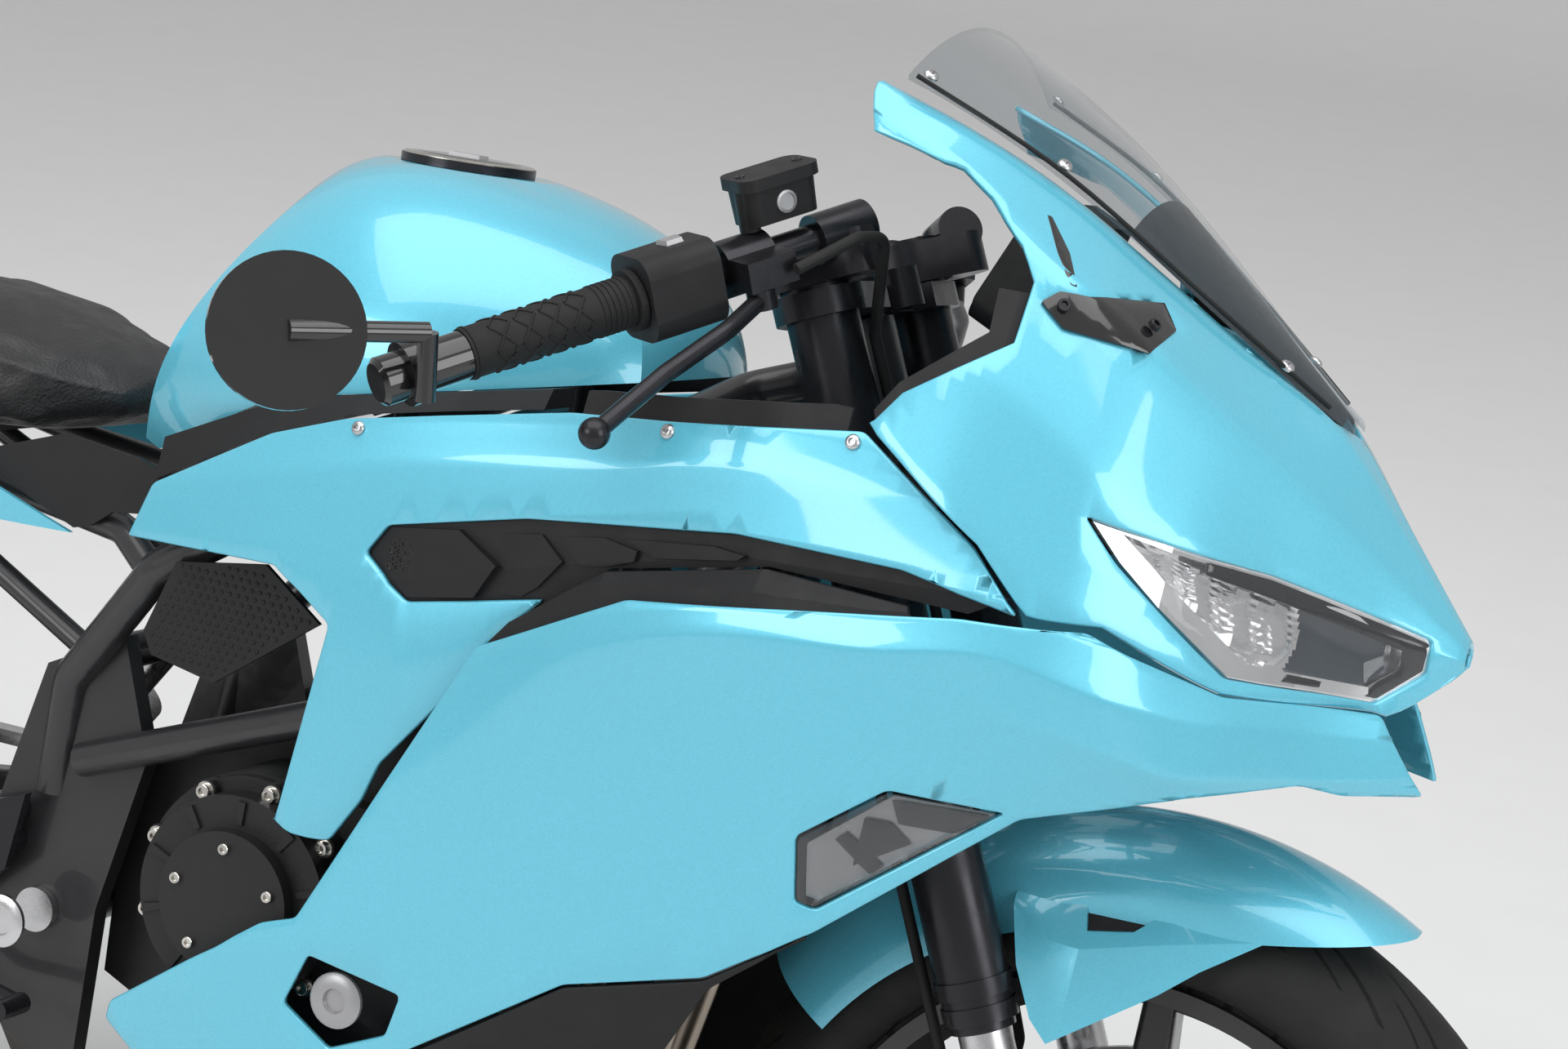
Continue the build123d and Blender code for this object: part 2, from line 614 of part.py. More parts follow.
# flared ear ahead of the fork tube; columns: x, then (half width, height) of its root, fold and tip
FENDER_EAR = (
    (590, (60, 570), (76, 562), (84, 552)), (625, (61, 576), (86, 545), (108, 496)),
    (645, (61, 580), (88, 545), (112, 478)), (700, (61, 582), (78, 560), (90, 524)),
    (762, (58, 580), (65, 575), (68, 568)),
)
EAR_OUTLINE = ((591, 590), (591, 566), (614, 506), (635, 480), (702, 528), (725, 548), (760, 573), (760, 590))
EAR_VENT = ((640, 572), (690, 574), (676, 562), (646, 556))
fender_ear = trimmed_skin(creased_skin(FENDER_EAR, 0, FENDER_WALL), EAR_OUTLINE, (EAR_VENT,))
with BuildPart() as front_fender:
    front_angle = math.radians(FENDER_FRONT_ANGLE)
    start = Plane(origin=FRONT_AXLE, x_dir=(0, 1, 0),
                  z_dir=(math.sin(front_angle), 0, -math.cos(front_angle)))
    with BuildSketch(start):
        with BuildLine():
            lip = (FENDER_HALF_WIDTH, FENDER_LIP_RADIUS)
            outer_lip = (FENDER_HALF_WIDTH + FENDER_WALL, FENDER_LIP_RADIUS)
            ThreePointArc((-lip[0], lip[1]), (0, FENDER_CROWN), lip)
            Line(lip, outer_lip)
            ThreePointArc(outer_lip, (0, FENDER_CROWN + FENDER_WALL), (-outer_lip[0], outer_lip[1]))
            Line((-outer_lip[0], outer_lip[1]), (-lip[0], lip[1]))
        make_face()
    revolve(axis=Axis(FRONT_AXLE, (0, -1, 0)), revolution_arc=FENDER_REAR_ANGLE - FENDER_FRONT_ANGLE)
    with BuildSketch(Plane.XZ.offset(-SIDE_REACH)):
        with BuildLine():
            Polyline(*FENDER_LIP, close=True)
        make_face()
    extrude(amount=2 * SIDE_REACH, mode=Mode.SUBTRACT)
    add(mirrored_pair(fender_ear))

# ---------------------------------------------------------------- brake hoses
HOSE_RADIUS = 4
HOSE_BEND = 14
CALIPER_HOSE_Y = -80
# from the caliper's upper end up the back of the fork tube to the lower clamp, along the steering axis
CALIPER_HOSE = (
    (-47, CALIPER_HOSE_Y, 435), (-28, CALIPER_HOSE_Y, 470), (-26, -88, 560), (-26, -88, 740), (-12, -62, 775),
    (-12, -62, LOWER_CLAMP - SEAM),
)
# from the lever perch round the fork's head down to the lower clamp, along the steering axis
MASTER_HOSE = (
    (38.5, -194, 1031), (72, -160, 1044), (82, -137, 1042), (57, -109, 1003), (44, -92, 985), (36, -68, 905),
    (36, -68, LOWER_CLAMP + LOWER_CLAMP_HEIGHT + SEAM),
)
with BuildPart() as brake_hoses:
    caliper_hose = bent_tube([STEERING.from_local_coords(point) for point in CALIPER_HOSE], HOSE_RADIUS,
                             HOSE_BEND)
    add(mirrored_pair(caliper_hose))
    add(bent_tube([STEERING.from_local_coords(point) for point in MASTER_HOSE], HOSE_RADIUS, HOSE_BEND))

DISC_SLOT = 1.5
with BuildPart() as caliper:
    with BuildSketch(STEERING_SIDE.offset(CALIPER_INNER)):
        with Locations(CALIPER_CENTRE):
            RectangleRounded(62, 112, 12, rotation=CALIPER_ANGLE)
    extrude(amount=CALIPER_WIDTH)
    with BuildSketch(STEERING_SIDE.offset(hubs["front"] - DISC_SLOT)):
        with Locations((AXLE_LOCAL.X, AXLE_LOCAL.Z)):
            Circle(145 + DISC_SLOT)
    extrude(amount=DISC_THICKNESS + 2 * DISC_SLOT, mode=Mode.SUBTRACT)

with BuildPart() as front_calipers:
    add(mirrored_pair(caliper.part))

# ---------------------------------------------------------------- frame
SHOCK_FOOT = Vector(-246, 0, 410)
SHOCK_BEAM = Vector(-132, 0, 574)
SHOCK_BEAM_RADIUS = 14
# columns: route of the tube (right side), radius
FRAME_TUBES = (
    (((398, -20, 888), (334, -50, 862), (312, -112, 838), (120, -150, 782), (-60, -146, 662),
      (-138, -122, 560),
      (-146, -115, 470)), 14),
    (((432, -20, 812), (362, -50, 772), (330, -136, 706), (150, -158, 610), (-120, -122, 500)), 13),
    (((312, -112, 838), (300, -140, 686)), 9),
    (((120, -150, 782), (150, -156, 612)), 9),
    (((-66, -142, 655), (-110, -121, 678), (-300, -104, 698), (-430, -92, 722), (-600, -72, 790),
      (-760, -36, 838)), 11),
    (((-136, -110, 580), (-430, -86, 712)), 9),
)
# columns: x, half length, height, radius of the cross tubes between the seat rails
SEAT_CROSS_TUBES = ((-430, 90, 722, 8), (-600, 72, 802, 8), (-755, 38, 852.5, 8))
STAND_PIVOT = Vector(-118, 141, 266)
STAND_FOOT_WALL = 6
STAND_FOOT_Y = 332
STAND_FOOT = Vector(-30, STAND_FOOT_Y, (STAND_FOOT_WALL - LEAN_LIFT + STAND_FOOT_Y * math.sin(LEAN_TURN))
                    / math.cos(LEAN_TURN))
STAND_STOWED = Vector(-0.975, 0.12, 0.19)
STAND_AXIS = (STAND_FOOT - STAND_PIVOT).cross(STAND_STOWED).normalized()
STAND_LUG = Vector(0, -1, 0) - STAND_AXIS * Vector(0, -1, 0).dot(STAND_AXIS)
STAND_HINGE = Plane(origin=STAND_PIVOT, x_dir=STAND_LUG, z_dir=STAND_AXIS)
STAND_BARREL_RADIUS = 13
STAND_BARREL_HALF = 8
STAND_PIN_RADIUS = 5
STAND_EAR_WALL = 6
STAND_EAR_GAP = 0.5
TANK_BOSS = (120, 140, 782)
TANK_BOSS_RADIUS = 9
TUBE_BEND = 30
PIVOT_PLATE_INNER = 107
PIVOT_PLATE_WALL = 16
PIVOT_PLATE = ((-176, 300), (-150, 262), (-96, 262), (-92, 390), (-64, 512), (-96, 600), (-160, 566),
               (-190, 450), (-184, 370))
# the tank's underside rises evenly between these two points of its seam
TANK_SEAM_LOW = (30, 806)
TANK_SEAM_HIGH = (252, 854)
TANK_RISE = (TANK_SEAM_HIGH[1] - TANK_SEAM_LOW[1]) / (TANK_SEAM_HIGH[0] - TANK_SEAM_LOW[0])


def tank_underside(x):
    """Height of the tank's underside above the frame rails."""
    return TANK_SEAM_LOW[1] + TANK_RISE * (x - TANK_SEAM_LOW[0])


frame_tubes = [bent_tube(points, radius, TUBE_BEND) for points, radius in FRAME_TUBES]
pivot_plate = side_plate(PIVOT_PLATE, PIVOT_PLATE_INNER, PIVOT_PLATE_WALL)

with BuildPart() as frame:
    for tube in frame_tubes:
        add(tube)
    add(pivot_plate)
    with BuildSketch(Plane(origin=(TANK_BOSS[0], -TANK_BOSS[1], TANK_BOSS[2]))):
        Circle(TANK_BOSS_RADIUS)
    extrude(amount=tank_underside(TANK_BOSS[0]) - TANK_BOSS[2] - TANK_BOSS_RADIUS * TANK_RISE - SEAM)
    mirror(about=Plane.XZ)
    for x, half, z, radius in SEAT_CROSS_TUBES:
        with BuildSketch(Plane.XZ.offset(-half)):
            with Locations((x, z)):
                Circle(radius)
        extrude(amount=2 * half)
    for start in (STAND_BARREL_HALF + STAND_EAR_GAP, -STAND_BARREL_HALF - STAND_EAR_GAP - STAND_EAR_WALL):
        with BuildSketch(STAND_HINGE.offset(start)):
            Circle(STAND_BARREL_RADIUS)
            with Locations((34, 0)):
                Circle(STAND_BARREL_RADIUS)
            make_hull()
        extrude(amount=STAND_EAR_WALL)
    with BuildSketch(STAND_HINGE.offset(-STAND_BARREL_HALF - STAND_EAR_GAP)):
        Circle(STAND_PIN_RADIUS)
    extrude(amount=2 * (STAND_BARREL_HALF + STAND_EAR_GAP))
    with BuildSketch(STEERING.offset(LOWER_CLAMP + LOWER_CLAMP_HEIGHT + 2)):
        Circle(HEAD_TUBE_RADIUS)
    extrude(amount=UPPER_CLAMP - LOWER_CLAMP - LOWER_CLAMP_HEIGHT - 4)
    with BuildSketch(Plane.XZ.offset(-PIVOT_PLATE_INNER - 4)):
        with Locations((SHOCK_BEAM.X, SHOCK_BEAM.Z)):
            Circle(SHOCK_BEAM_RADIUS)
    extrude(amount=2 * PIVOT_PLATE_INNER + 8)
    with BuildSketch(STEERING.offset(LOWER_CLAMP)):
        Circle(STEM_RADIUS + RUNNING_FIT)
    extrude(amount=UPPER_CLAMP - LOWER_CLAMP, mode=Mode.SUBTRACT)
    with BuildSketch(Plane.XZ.offset(-PIVOT_PLATE_INNER - PIVOT_PLATE_WALL)):
        with Locations((SWINGARM_PIVOT.X, SWINGARM_PIVOT.Z)):
            Circle(PIVOT_SHAFT_RADIUS + CLAMP_FIT)
    extrude(amount=2 * (PIVOT_PLATE_INNER + PIVOT_PLATE_WALL), mode=Mode.SUBTRACT)

# ---------------------------------------------------------------- swingarm, shock, rear axle
# columns: x, middle y, middle z, width, height of one arm
SWINGARM_STATIONS = (
    (-118, 90, 384, 28, 34), (-170, 90, 384, 30, 56), (-235, 94, 378, 30, 68), (-330, 120, 368, 28, 70),
    (-560, 122, 336, 27, 58), (-690, 122, 312, 25, 52), (-742, 122, 309, 22, 40),
)
BOBBIN_BOSS = (-600, 142, 330)
BOBBIN_BOSS_RADIUS = 12
BOBBIN_HOLE_RADIUS = 4
BOBBIN_HOLE_DEPTH = 22
with BuildPart() as swingarm:
    for x, y, z, width, height in SWINGARM_STATIONS:
        with BuildSketch(Plane.YZ.offset(x)):
            with Locations((-y, z)):
                RectangleRounded(width, height, 6)
    loft(ruled=True)
    mirror(about=Plane.XZ)
    with BuildSketch(Plane.XZ.offset(-84)):
        with Locations((SWINGARM_PIVOT.X, SWINGARM_PIVOT.Z)):
            Circle(24)
        with Locations((-268, 380)):
            RectangleRounded(90, 46, 8)
    extrude(amount=168)
    with BuildSketch(Plane.XZ.offset(-140)):
        with Locations((SWINGARM_PIVOT.X, SWINGARM_PIVOT.Z)):
            Circle(PIVOT_SHAFT_RADIUS + CLAMP_FIT)
        with Locations((REAR_AXLE.X, REAR_AXLE.Z)):
            Circle(AXLE_RADIUS + CLAMP_FIT)
    extrude(amount=280, mode=Mode.SUBTRACT)
    # threaded bosses for a paddock stand's bobbins
    for side in (-1, 1):
        boss = Plane(origin=(BOBBIN_BOSS[0], side * BOBBIN_BOSS[1], BOBBIN_BOSS[2]), x_dir=(1, 0, 0),
                     z_dir=(0, -side, 0))
        with BuildSketch(boss):
            Circle(BOBBIN_BOSS_RADIUS)
        extrude(amount=BOBBIN_HOLE_DEPTH - 4)
        with BuildSketch(boss):
            Circle(BOBBIN_HOLE_RADIUS)
        extrude(amount=BOBBIN_HOLE_DEPTH, mode=Mode.SUBTRACT)

ARM_INNER = 109.5
ARM_OUTER = 134.5
with BuildPart() as rear_shafts:
    # swingarm pivot shaft with its washers
    with BuildSketch(Plane.XZ.offset(-PIVOT_PLATE_INNER - PIVOT_PLATE_WALL - 5)):
        with Locations((SWINGARM_PIVOT.X, SWINGARM_PIVOT.Z)):
            Circle(PIVOT_SHAFT_RADIUS)
    extrude(amount=2 * (PIVOT_PLATE_INNER + PIVOT_PLATE_WALL + 5))
    for side in (-1, 1):
        outer = PIVOT_PLATE_INNER + PIVOT_PLATE_WALL + SEAM
        with BuildSketch(Plane(origin=(SWINGARM_PIVOT.X, side * outer, SWINGARM_PIVOT.Z),
                               x_dir=(1, 0, 0), z_dir=(0, side, 0))):
            Circle(17)
        extrude(amount=7)
    # rear axle with its spacers and nuts
    with BuildSketch(Plane.XZ.offset(-ARM_OUTER - 12)):
        with Locations((REAR_AXLE.X, REAR_AXLE.Z)):
            Circle(AXLE_RADIUS)
    extrude(amount=2 * (ARM_OUTER + 12))
    for side, wheel_face in ((-1, hubs["rear"] + HUB_SPIGOT_LENGTH),
                             (1, CHAIN_LINE + SPROCKET_THICKNESS / 2)):
        for start, end, radius in ((wheel_face + 2 * SEAM, ARM_INNER - SEAM, 17),
                                   (ARM_OUTER + 3, ARM_OUTER + 12, 16)):
            with BuildSketch(Plane(origin=(REAR_AXLE.X, side * start, REAR_AXLE.Z),
                                   x_dir=(1, 0, 0), z_dir=(0, side, 0))):
                Circle(radius)
            extrude(amount=end - start)

REAR_CALIPER_ANGLE = 20
REAR_CALIPER_REACH = 98
REAR_CALIPER_INNER = 52
REAR_CALIPER_OUTER = 108
REAR_CALIPER_SIZE = (52, 84)
with BuildPart() as rear_caliper:
    caliper_turn = math.radians(REAR_CALIPER_ANGLE)
    with BuildSketch(Plane.XZ.offset(REAR_CALIPER_INNER)):
        with Locations((REAR_AXLE.X + REAR_CALIPER_REACH * math.cos(caliper_turn),
                        REAR_AXLE.Z + REAR_CALIPER_REACH * math.sin(caliper_turn))):
            RectangleRounded(*REAR_CALIPER_SIZE, 12, rotation=REAR_CALIPER_ANGLE)
    extrude(amount=REAR_CALIPER_OUTER - REAR_CALIPER_INNER)
    with BuildSketch(Plane.XZ.offset(hubs["rear"] - DISC_SLOT)):
        with Locations((REAR_AXLE.X, REAR_AXLE.Z)):
            Circle(DISCS[2][2] + DISC_SLOT)
    extrude(amount=DISC_THICKNESS + 2 * DISC_SLOT, mode=Mode.SUBTRACT)

with BuildPart() as shock:
    stroke = SHOCK_BEAM - SHOCK_FOOT
    stroke = stroke.normalized() * (stroke.length - SHOCK_BEAM_RADIUS - SEAM)
    with BuildSketch(Plane(origin=SHOCK_FOOT, z_dir=stroke)):
        Circle(12)
    extrude(amount=stroke.length)
    for turn in range(7):
        with BuildSketch(Plane(origin=SHOCK_FOOT + stroke.normalized() * (30 + 17 * turn), z_dir=stroke)):
            Circle(29)
        extrude(amount=9)

# ---------------------------------------------------------------- engine
CRANKCASE = ((-104, 330), (-104, 470), (-70, 520), (40, 556), (120, 560), (250, 490), (276, 420), (262, 330),
             (190, 292), (150, 232), (10, 232), (-10, 292))
CASE_REAR_HALF = 82
HEAD_DEPTH = 124
CASE_FRONT_HALF = 146
CYLINDER_TILT = 30
CYLINDER_BASE = Vector(135, 0, 520)
CYLINDER_PLANE = Plane(
    origin=CYLINDER_BASE, x_dir=(math.cos(math.radians(CYLINDER_TILT)), 0,
                                 -math.sin(math.radians(CYLINDER_TILT))),
    z_dir=(math.sin(math.radians(CYLINDER_TILT)), 0, math.cos(math.radians(CYLINDER_TILT))))
with BuildPart() as engine:
    with BuildSketch(Plane.XZ.offset(-CASE_REAR_HALF)):
        with BuildLine():
            Polyline(*CRANKCASE, close=True)
        make_face()
    extrude(amount=2 * CASE_REAR_HALF)
    for clutch_x, reach in ((52, CASE_FRONT_HALF), (84, -CASE_FRONT_HALF)):
        with BuildSketch(Plane.XZ):
            with Locations((clutch_x, 445)):
                Circle(88)
            with Locations((176, 436)):
                Circle(88)
            make_hull()
        extrude(amount=reach)
    with BuildSketch(Plane.XZ.offset(-CHAIN_LINE - SPROCKET_THICKNESS / 2)):
        with Locations((DRIVE_SPROCKET.X, DRIVE_SPROCKET.Z)):
            Circle(DRIVE_RADIUS - CHAIN_HALF_HEIGHT - CHAIN_CLEARANCE)
    extrude(amount=SPROCKET_THICKNESS)
    with BuildSketch(Plane.XZ.offset(-CHAIN_LINE)):
        with Locations((DRIVE_SPROCKET.X, DRIVE_SPROCKET.Z)):
            Circle(14)
    extrude(amount=CHAIN_LINE - CASE_REAR_HALF + 2)
    for half, depth, start, height in ((128, 112, 0, 120), (132, HEAD_DEPTH, 120, 44), (120, 104, 164, 34)):
        with BuildSketch(CYLINDER_PLANE.offset(start)):
            RectangleRounded(depth, 2 * half, 10)
        extrude(amount=height)

COVER_SEAM = 146
COVER_BOLTS = 9
with BuildPart() as engine_covers:
    for reach, radius, height in ((COVER_SEAM, 86, 8), (COVER_SEAM + 8, 76, 20), (COVER_SEAM + 28, 52, 12)):
        with BuildSketch(Plane.XZ.offset(reach)):
            with Locations((52, 445)):
                Circle(radius)
        extrude(amount=height)
    with BuildSketch(Plane.XZ.offset(COVER_SEAM)):
        with Locations((52, 445)):
            with PolarLocations(80, COVER_BOLTS):
                Circle(8)
    extrude(amount=14)
    with BuildSketch(Plane.XZ.offset(COVER_SEAM)):
        with Locations((176, 436)):
            Circle(62)
    extrude(amount=6)
    for reach, radius, height in ((COVER_SEAM, 74, 30), (COVER_SEAM + 30, 60, 10)):
        with BuildSketch(Plane.XZ.offset(-reach)):
            with Locations((170, 440)):
                Circle(radius)
        extrude(amount=-height)

MUFFLER_AXIS = Plane(origin=(-231, -175.5, 244), z_dir=(-0.95, -0.13, 0.28))
MUFFLER_LENGTH = 300
HEADER_RADIUS = 16
HEADER_DOWN_X = 318
HEAD_FACE = CYLINDER_BASE + CYLINDER_PLANE.z_dir * 142 + CYLINDER_PLANE.x_dir * (HEAD_DEPTH / 2 + SEAM)
COLLECTOR_CENTRE = (52, -2, 180)
LINK_ROUTE = ((40, -36, 180), (-90, -60, 186), MUFFLER_AXIS.from_local_coords((0, 0, -48)),
              MUFFLER_AXIS.from_local_coords((0, 0, -SEAM)))
LINK_RADIUS = 20
header_pipes = []
for y in (-105, -35, 35, 105):
    elbow = HEAD_FACE + CYLINDER_PLANE.x_dir * ((HEADER_DOWN_X - HEAD_FACE.X) / CYLINDER_PLANE.x_dir.X)
    route = ((HEAD_FACE.X, y, HEAD_FACE.Z), (elbow.X, y, elbow.Z), (HEADER_DOWN_X, y, 430),
             (292, 0.6 * y, 250),
             (190, 0.42 * y, 186), (50, 0.34 * y, 180))
    header_pipes.append(bent_tube(route, HEADER_RADIUS, 26))
link_pipe = bent_tube(LINK_ROUTE, LINK_RADIUS, 40)
with BuildPart() as exhaust_headers:
    for pipe in header_pipes:
        add(pipe)
    with Locations(COLLECTOR_CENTRE):
        Box(60, 96, 40)
    add(link_pipe)

with BuildPart() as muffler:
    for start, width, height in ((0, 44, 44), (70, 80, 104), (250, 88, 112), (MUFFLER_LENGTH, 70, 90)):
        with BuildSketch(MUFFLER_AXIS.offset(start)):
            RectangleRounded(height, width, 20)
    loft(ruled=True)
    with BuildSketch(MUFFLER_AXIS.offset(MUFFLER_LENGTH - 40)):
        Circle(22)
    extrude(amount=40, mode=Mode.SUBTRACT)

RADIATOR_PLANE = Plane(origin=(384, 0, 560), x_dir=(0, 1, 0), z_dir=(-0.997, 0, 0.08))
# stays that reach back beside the lower frame rails
RADIATOR_STAY = (372, 158, 690)
RADIATOR_STAY_LENGTH = 74
RADIATOR_STAY_RADIUS = 5
with BuildPart() as radiator:
    with BuildSketch(RADIATOR_PLANE):
        Rectangle(330, 250)
    extrude(amount=26)
    with BuildSketch(RADIATOR_PLANE.offset(-4)):
        with Locations((-150, 0), (150, 0)):
            RectangleRounded(34, 258, 8)
    extrude(amount=34)
    for side in (-1, 1):
        with BuildSketch(Plane(origin=(RADIATOR_STAY[0], side * RADIATOR_STAY[1], RADIATOR_STAY[2]),
                               z_dir=(-1, 0, 0))):
            Circle(RADIATOR_STAY_RADIUS)
        extrude(amount=RADIATOR_STAY_LENGTH)

# ---------------------------------------------------------------- footrests
FOOTREST_BRACKET = ((-150, 470), (-196, 452), (-262, 392), (-300, 366), (-296, 336), (-250, 340),
                    (-200, 372), (-160, 410))
FOOTREST = Vector(-284, 0, 352)
footrest_plate = side_plate(FOOTREST_BRACKET, 138, 8)
# pedal routes ahead of the footrests, right hand; the left one changes gear
PEDAL_PIVOT = (-250, -146.3, 356)
PEDAL_BOSS_RADIUS = 10
PEDAL_BOSS_WIDTH = 12
PEDAL_ROUTE = ((-250, -152, 356), (-170, -152, 322), (-118, -164, 320))
PEDAL_RADIUS = 5
TOE_PEG_RADIUS = 8
TOE_PEG_LENGTH = 30
with BuildPart() as foot_control:
    with BuildSketch(Plane(origin=PEDAL_PIVOT, x_dir=(1, 0, 0), z_dir=(0, -1, 0))):
        Circle(PEDAL_BOSS_RADIUS)
    extrude(amount=PEDAL_BOSS_WIDTH)
    add(bent_tube(PEDAL_ROUTE, PEDAL_RADIUS, 30))
    with BuildSketch(Plane(origin=PEDAL_ROUTE[-1], x_dir=(1, 0, 0), z_dir=(0, -1, 0))):
        Circle(TOE_PEG_RADIUS)
    extrude(amount=TOE_PEG_LENGTH)

with BuildPart() as footrests:
    add(footrest_plate)
    with BuildSketch(Plane.XZ.offset(PIVOT_PLATE_INNER + PIVOT_PLATE_WALL + SEAM)):
        with Locations((-168, 452), (-168, 428)):
            Circle(9)
    extrude(amount=138 - PIVOT_PLATE_INNER - PIVOT_PLATE_WALL - SEAM)
    with BuildSketch(Plane.XZ.offset(146)):
        with Locations((FOOTREST.X, FOOTREST.Z)):
            Circle(11)
    extrude(amount=88)
    mirror(about=Plane.XZ)
    add(mirrored_pair(foot_control.part))

# ---------------------------------------------------------------- fuel tank
# level planform sections; columns: height, rear x, front x, half width, nose half width
TANK_LEVELS = (
    (730, -150, 296, 128, 90), (800, -128, 298, 166, 100), (866, -94, 292, 168, 96),
    (930, -52, 258, 138, 74), (966, -22, 190, 96, 50), (978, 2, 140, 58, 34),
)
# underside seen from the side: the seam that the tank strips follow
TANK_SEAM = ((-170, 768), (-135, 752), (-100, 740), TANK_SEAM_LOW, TANK_SEAM_HIGH, (330, tank_underside(330)),
             (330, 690), (-170, 690))
with BuildPart() as fuel_tank:
    for height, rear, front, half, nose in TANK_LEVELS:
        with BuildSketch(Plane.XY.offset(height)):
            with BuildLine():
                middle = (rear + front) / 2 - 20
                ThreePointArc((rear + 30, -half * 0.72), (rear, 0), (rear + 30, half * 0.72))
                ThreePointArc((rear + 30, half * 0.72), (middle, half), (front - 20, nose))
                ThreePointArc((front - 20, nose), (front, 0), (front - 20, -nose))
                ThreePointArc((front - 20, -nose), (middle, -half), (rear + 30, -half * 0.72))
            make_face()
    loft()
    with BuildSketch(Plane.XZ.offset(-SIDE_REACH)):
        with BuildLine():
            Polyline(*TANK_SEAM, close=True)
        make_face()
    extrude(amount=2 * SIDE_REACH, mode=Mode.SUBTRACT)

FUEL_CAP_PLANE = Plane(origin=(66, 0, 978), z_dir=(0, 0, 1))
with BuildPart() as fuel_cap:
    with BuildSketch(FUEL_CAP_PLANE.offset(SEAM)):
        Circle(50)
    extrude(amount=6)

# strips that fill the step between the tank's seam and the upper side panels
# columns: x, inner y, outer y at the top, outer y at the foot, height of the top, height of the foot
TANK_STRIP = (
    (-60, 140, 160, 166, 759.8, 729), (43, 152, 174, 186, 808.3, 785.5), (104, 152, 177, 190, 821.5, 808),
    (180, 154, 178, 190, 837.9, 825), (252, 156, 188, 198, 853.5, 840),
)
with BuildPart() as tank_strip:
    for x, inner, outer_top, outer_foot, top, foot in TANK_STRIP:
        with BuildSketch(Plane.YZ.offset(x)):
            with BuildLine():
                Polyline((-inner, top), (-outer_top, top), (-outer_foot, foot), (-inner, foot), close=True)
            make_face()
    loft(ruled=True)

# ---------------------------------------------------------------- seat and tail
# columns: x, half width, foot height, shoulder height, crown height
SEAT_STATIONS = (
    (-158, 62, 744, 766, 776), (-215, 112, 732, 780, 796), (-300, 138, 724, 800, 818),
    (-408, 136, 736, 814, 826),
)
with BuildPart() as rider_seat:
    for x, half, foot, shoulder, crown in SEAT_STATIONS:
        with BuildSketch(Plane.YZ.offset(x)):
            with BuildLine():
                Polyline((-half, shoulder), (-half + 14, foot), (half - 14, foot), (half, shoulder))
                ThreePointArc((half, shoulder), (0, crown), (-half, shoulder))
            make_face()
    loft(ruled=True)

# columns: x, half width, shoulder height, crown height; the foot rises evenly to the rear
HUMP_FOOT = 762
HUMP_FOOT_RISE = 0.325
HUMP_STATIONS = (
    (-411, 96, 822, 842), (-500, 104, 876, 904), (-640, 84, 918, 942), (-860, 34, 938, 952),
)


def hump_foot(x):
    """Height of the underside of the seat hump."""
    return HUMP_FOOT + HUMP_FOOT_RISE * (HUMP_STATIONS[0][0] - x)


with BuildPart() as seat_hump:
    for x, half, shoulder, crown in HUMP_STATIONS:
        foot = hump_foot(x)
        with BuildSketch(Plane.YZ.offset(x)):
            with BuildLine():
                Line((-half - 6, foot), (half + 6, foot))
                Line((half + 6, foot), (half, shoulder))
                ThreePointArc((half, shoulder), (0, crown), (-half, shoulder))
                Line((-half, shoulder), (-half - 6, foot))
            make_face()
    loft()

TAIL_SKIN = (
    (-130, (128, 740), (134, 690), (130, 640)),
    (-320, (132, 800), (152, 740), (136, 680)),
    (-520, (112, 870), (134, 800), (112, 740)),
    (-720, (70, 930), (92, 880), (72, 820)),
    (-905, (24, 965), (42, 930), (28, 880)),
)
TAIL_OUTLINE = ((-146, 670), (-270, 716), (-408, 728), (-420, 800), (-500, 826), (-640, 856), (-860, 916),
                (-900, 930),
                (-880, 890), (-700, 812), (-520, 752), (-330, 700), (-215, 668))
tail_skin = bowed_skin(TAIL_SKIN, PANEL_WALL)
tail_panel = trimmed_skin(tail_skin, TAIL_OUTLINE)
with BuildPart() as tail_panels:
    add(mirrored_pair(tail_panel))

with BuildPart() as tail_light:
    with BuildSketch(Plane.YZ.offset(HUMP_STATIONS[-1][0] - SEAM)):
        with Locations((0, 916)):
            RectangleRounded(52, 30, 8)
    extrude(amount=-24, taper=6)

TRAY_WALL = 12
PLATE_HOLDER = Plane(origin=(-984, 0, 652), x_dir=(0, 1, 0), z_dir=(-0.94, 0, 0.34))
PLATE_WALL = 8
PLATE_BOLT_SPACING = 130
PLATE_HOLE_RADIUS = 3.25
with BuildPart() as rear_fender:
    for x, half, high in ((-300, 72, 724), (-408, 72, 736), (-440, 70, hump_foot(-440)),
                          (-830, 24, hump_foot(-830))):
        with BuildSketch(Plane.YZ.offset(x)):
            with Locations((0, high - SEAM - TRAY_WALL / 2)):
                Rectangle(2 * half, TRAY_WALL)
    loft(ruled=True)
    with BuildSketch(Plane.XZ.offset(-22)):
        with BuildLine():
            Polyline((-760, 864), (-826, 884), (-990, 664), (-984, 640), (-962, 640), close=True)
        make_face()
    extrude(amount=44)
    with BuildSketch(PLATE_HOLDER):
        RectangleRounded(170, 66, 6)
    extrude(amount=-PLATE_WALL)
    with BuildSketch(PLATE_HOLDER):
        with GridLocations(PLATE_BOLT_SPACING, 0, 2, 1):
            Circle(PLATE_HOLE_RADIUS)
    extrude(amount=-PLATE_WALL, mode=Mode.SUBTRACT)

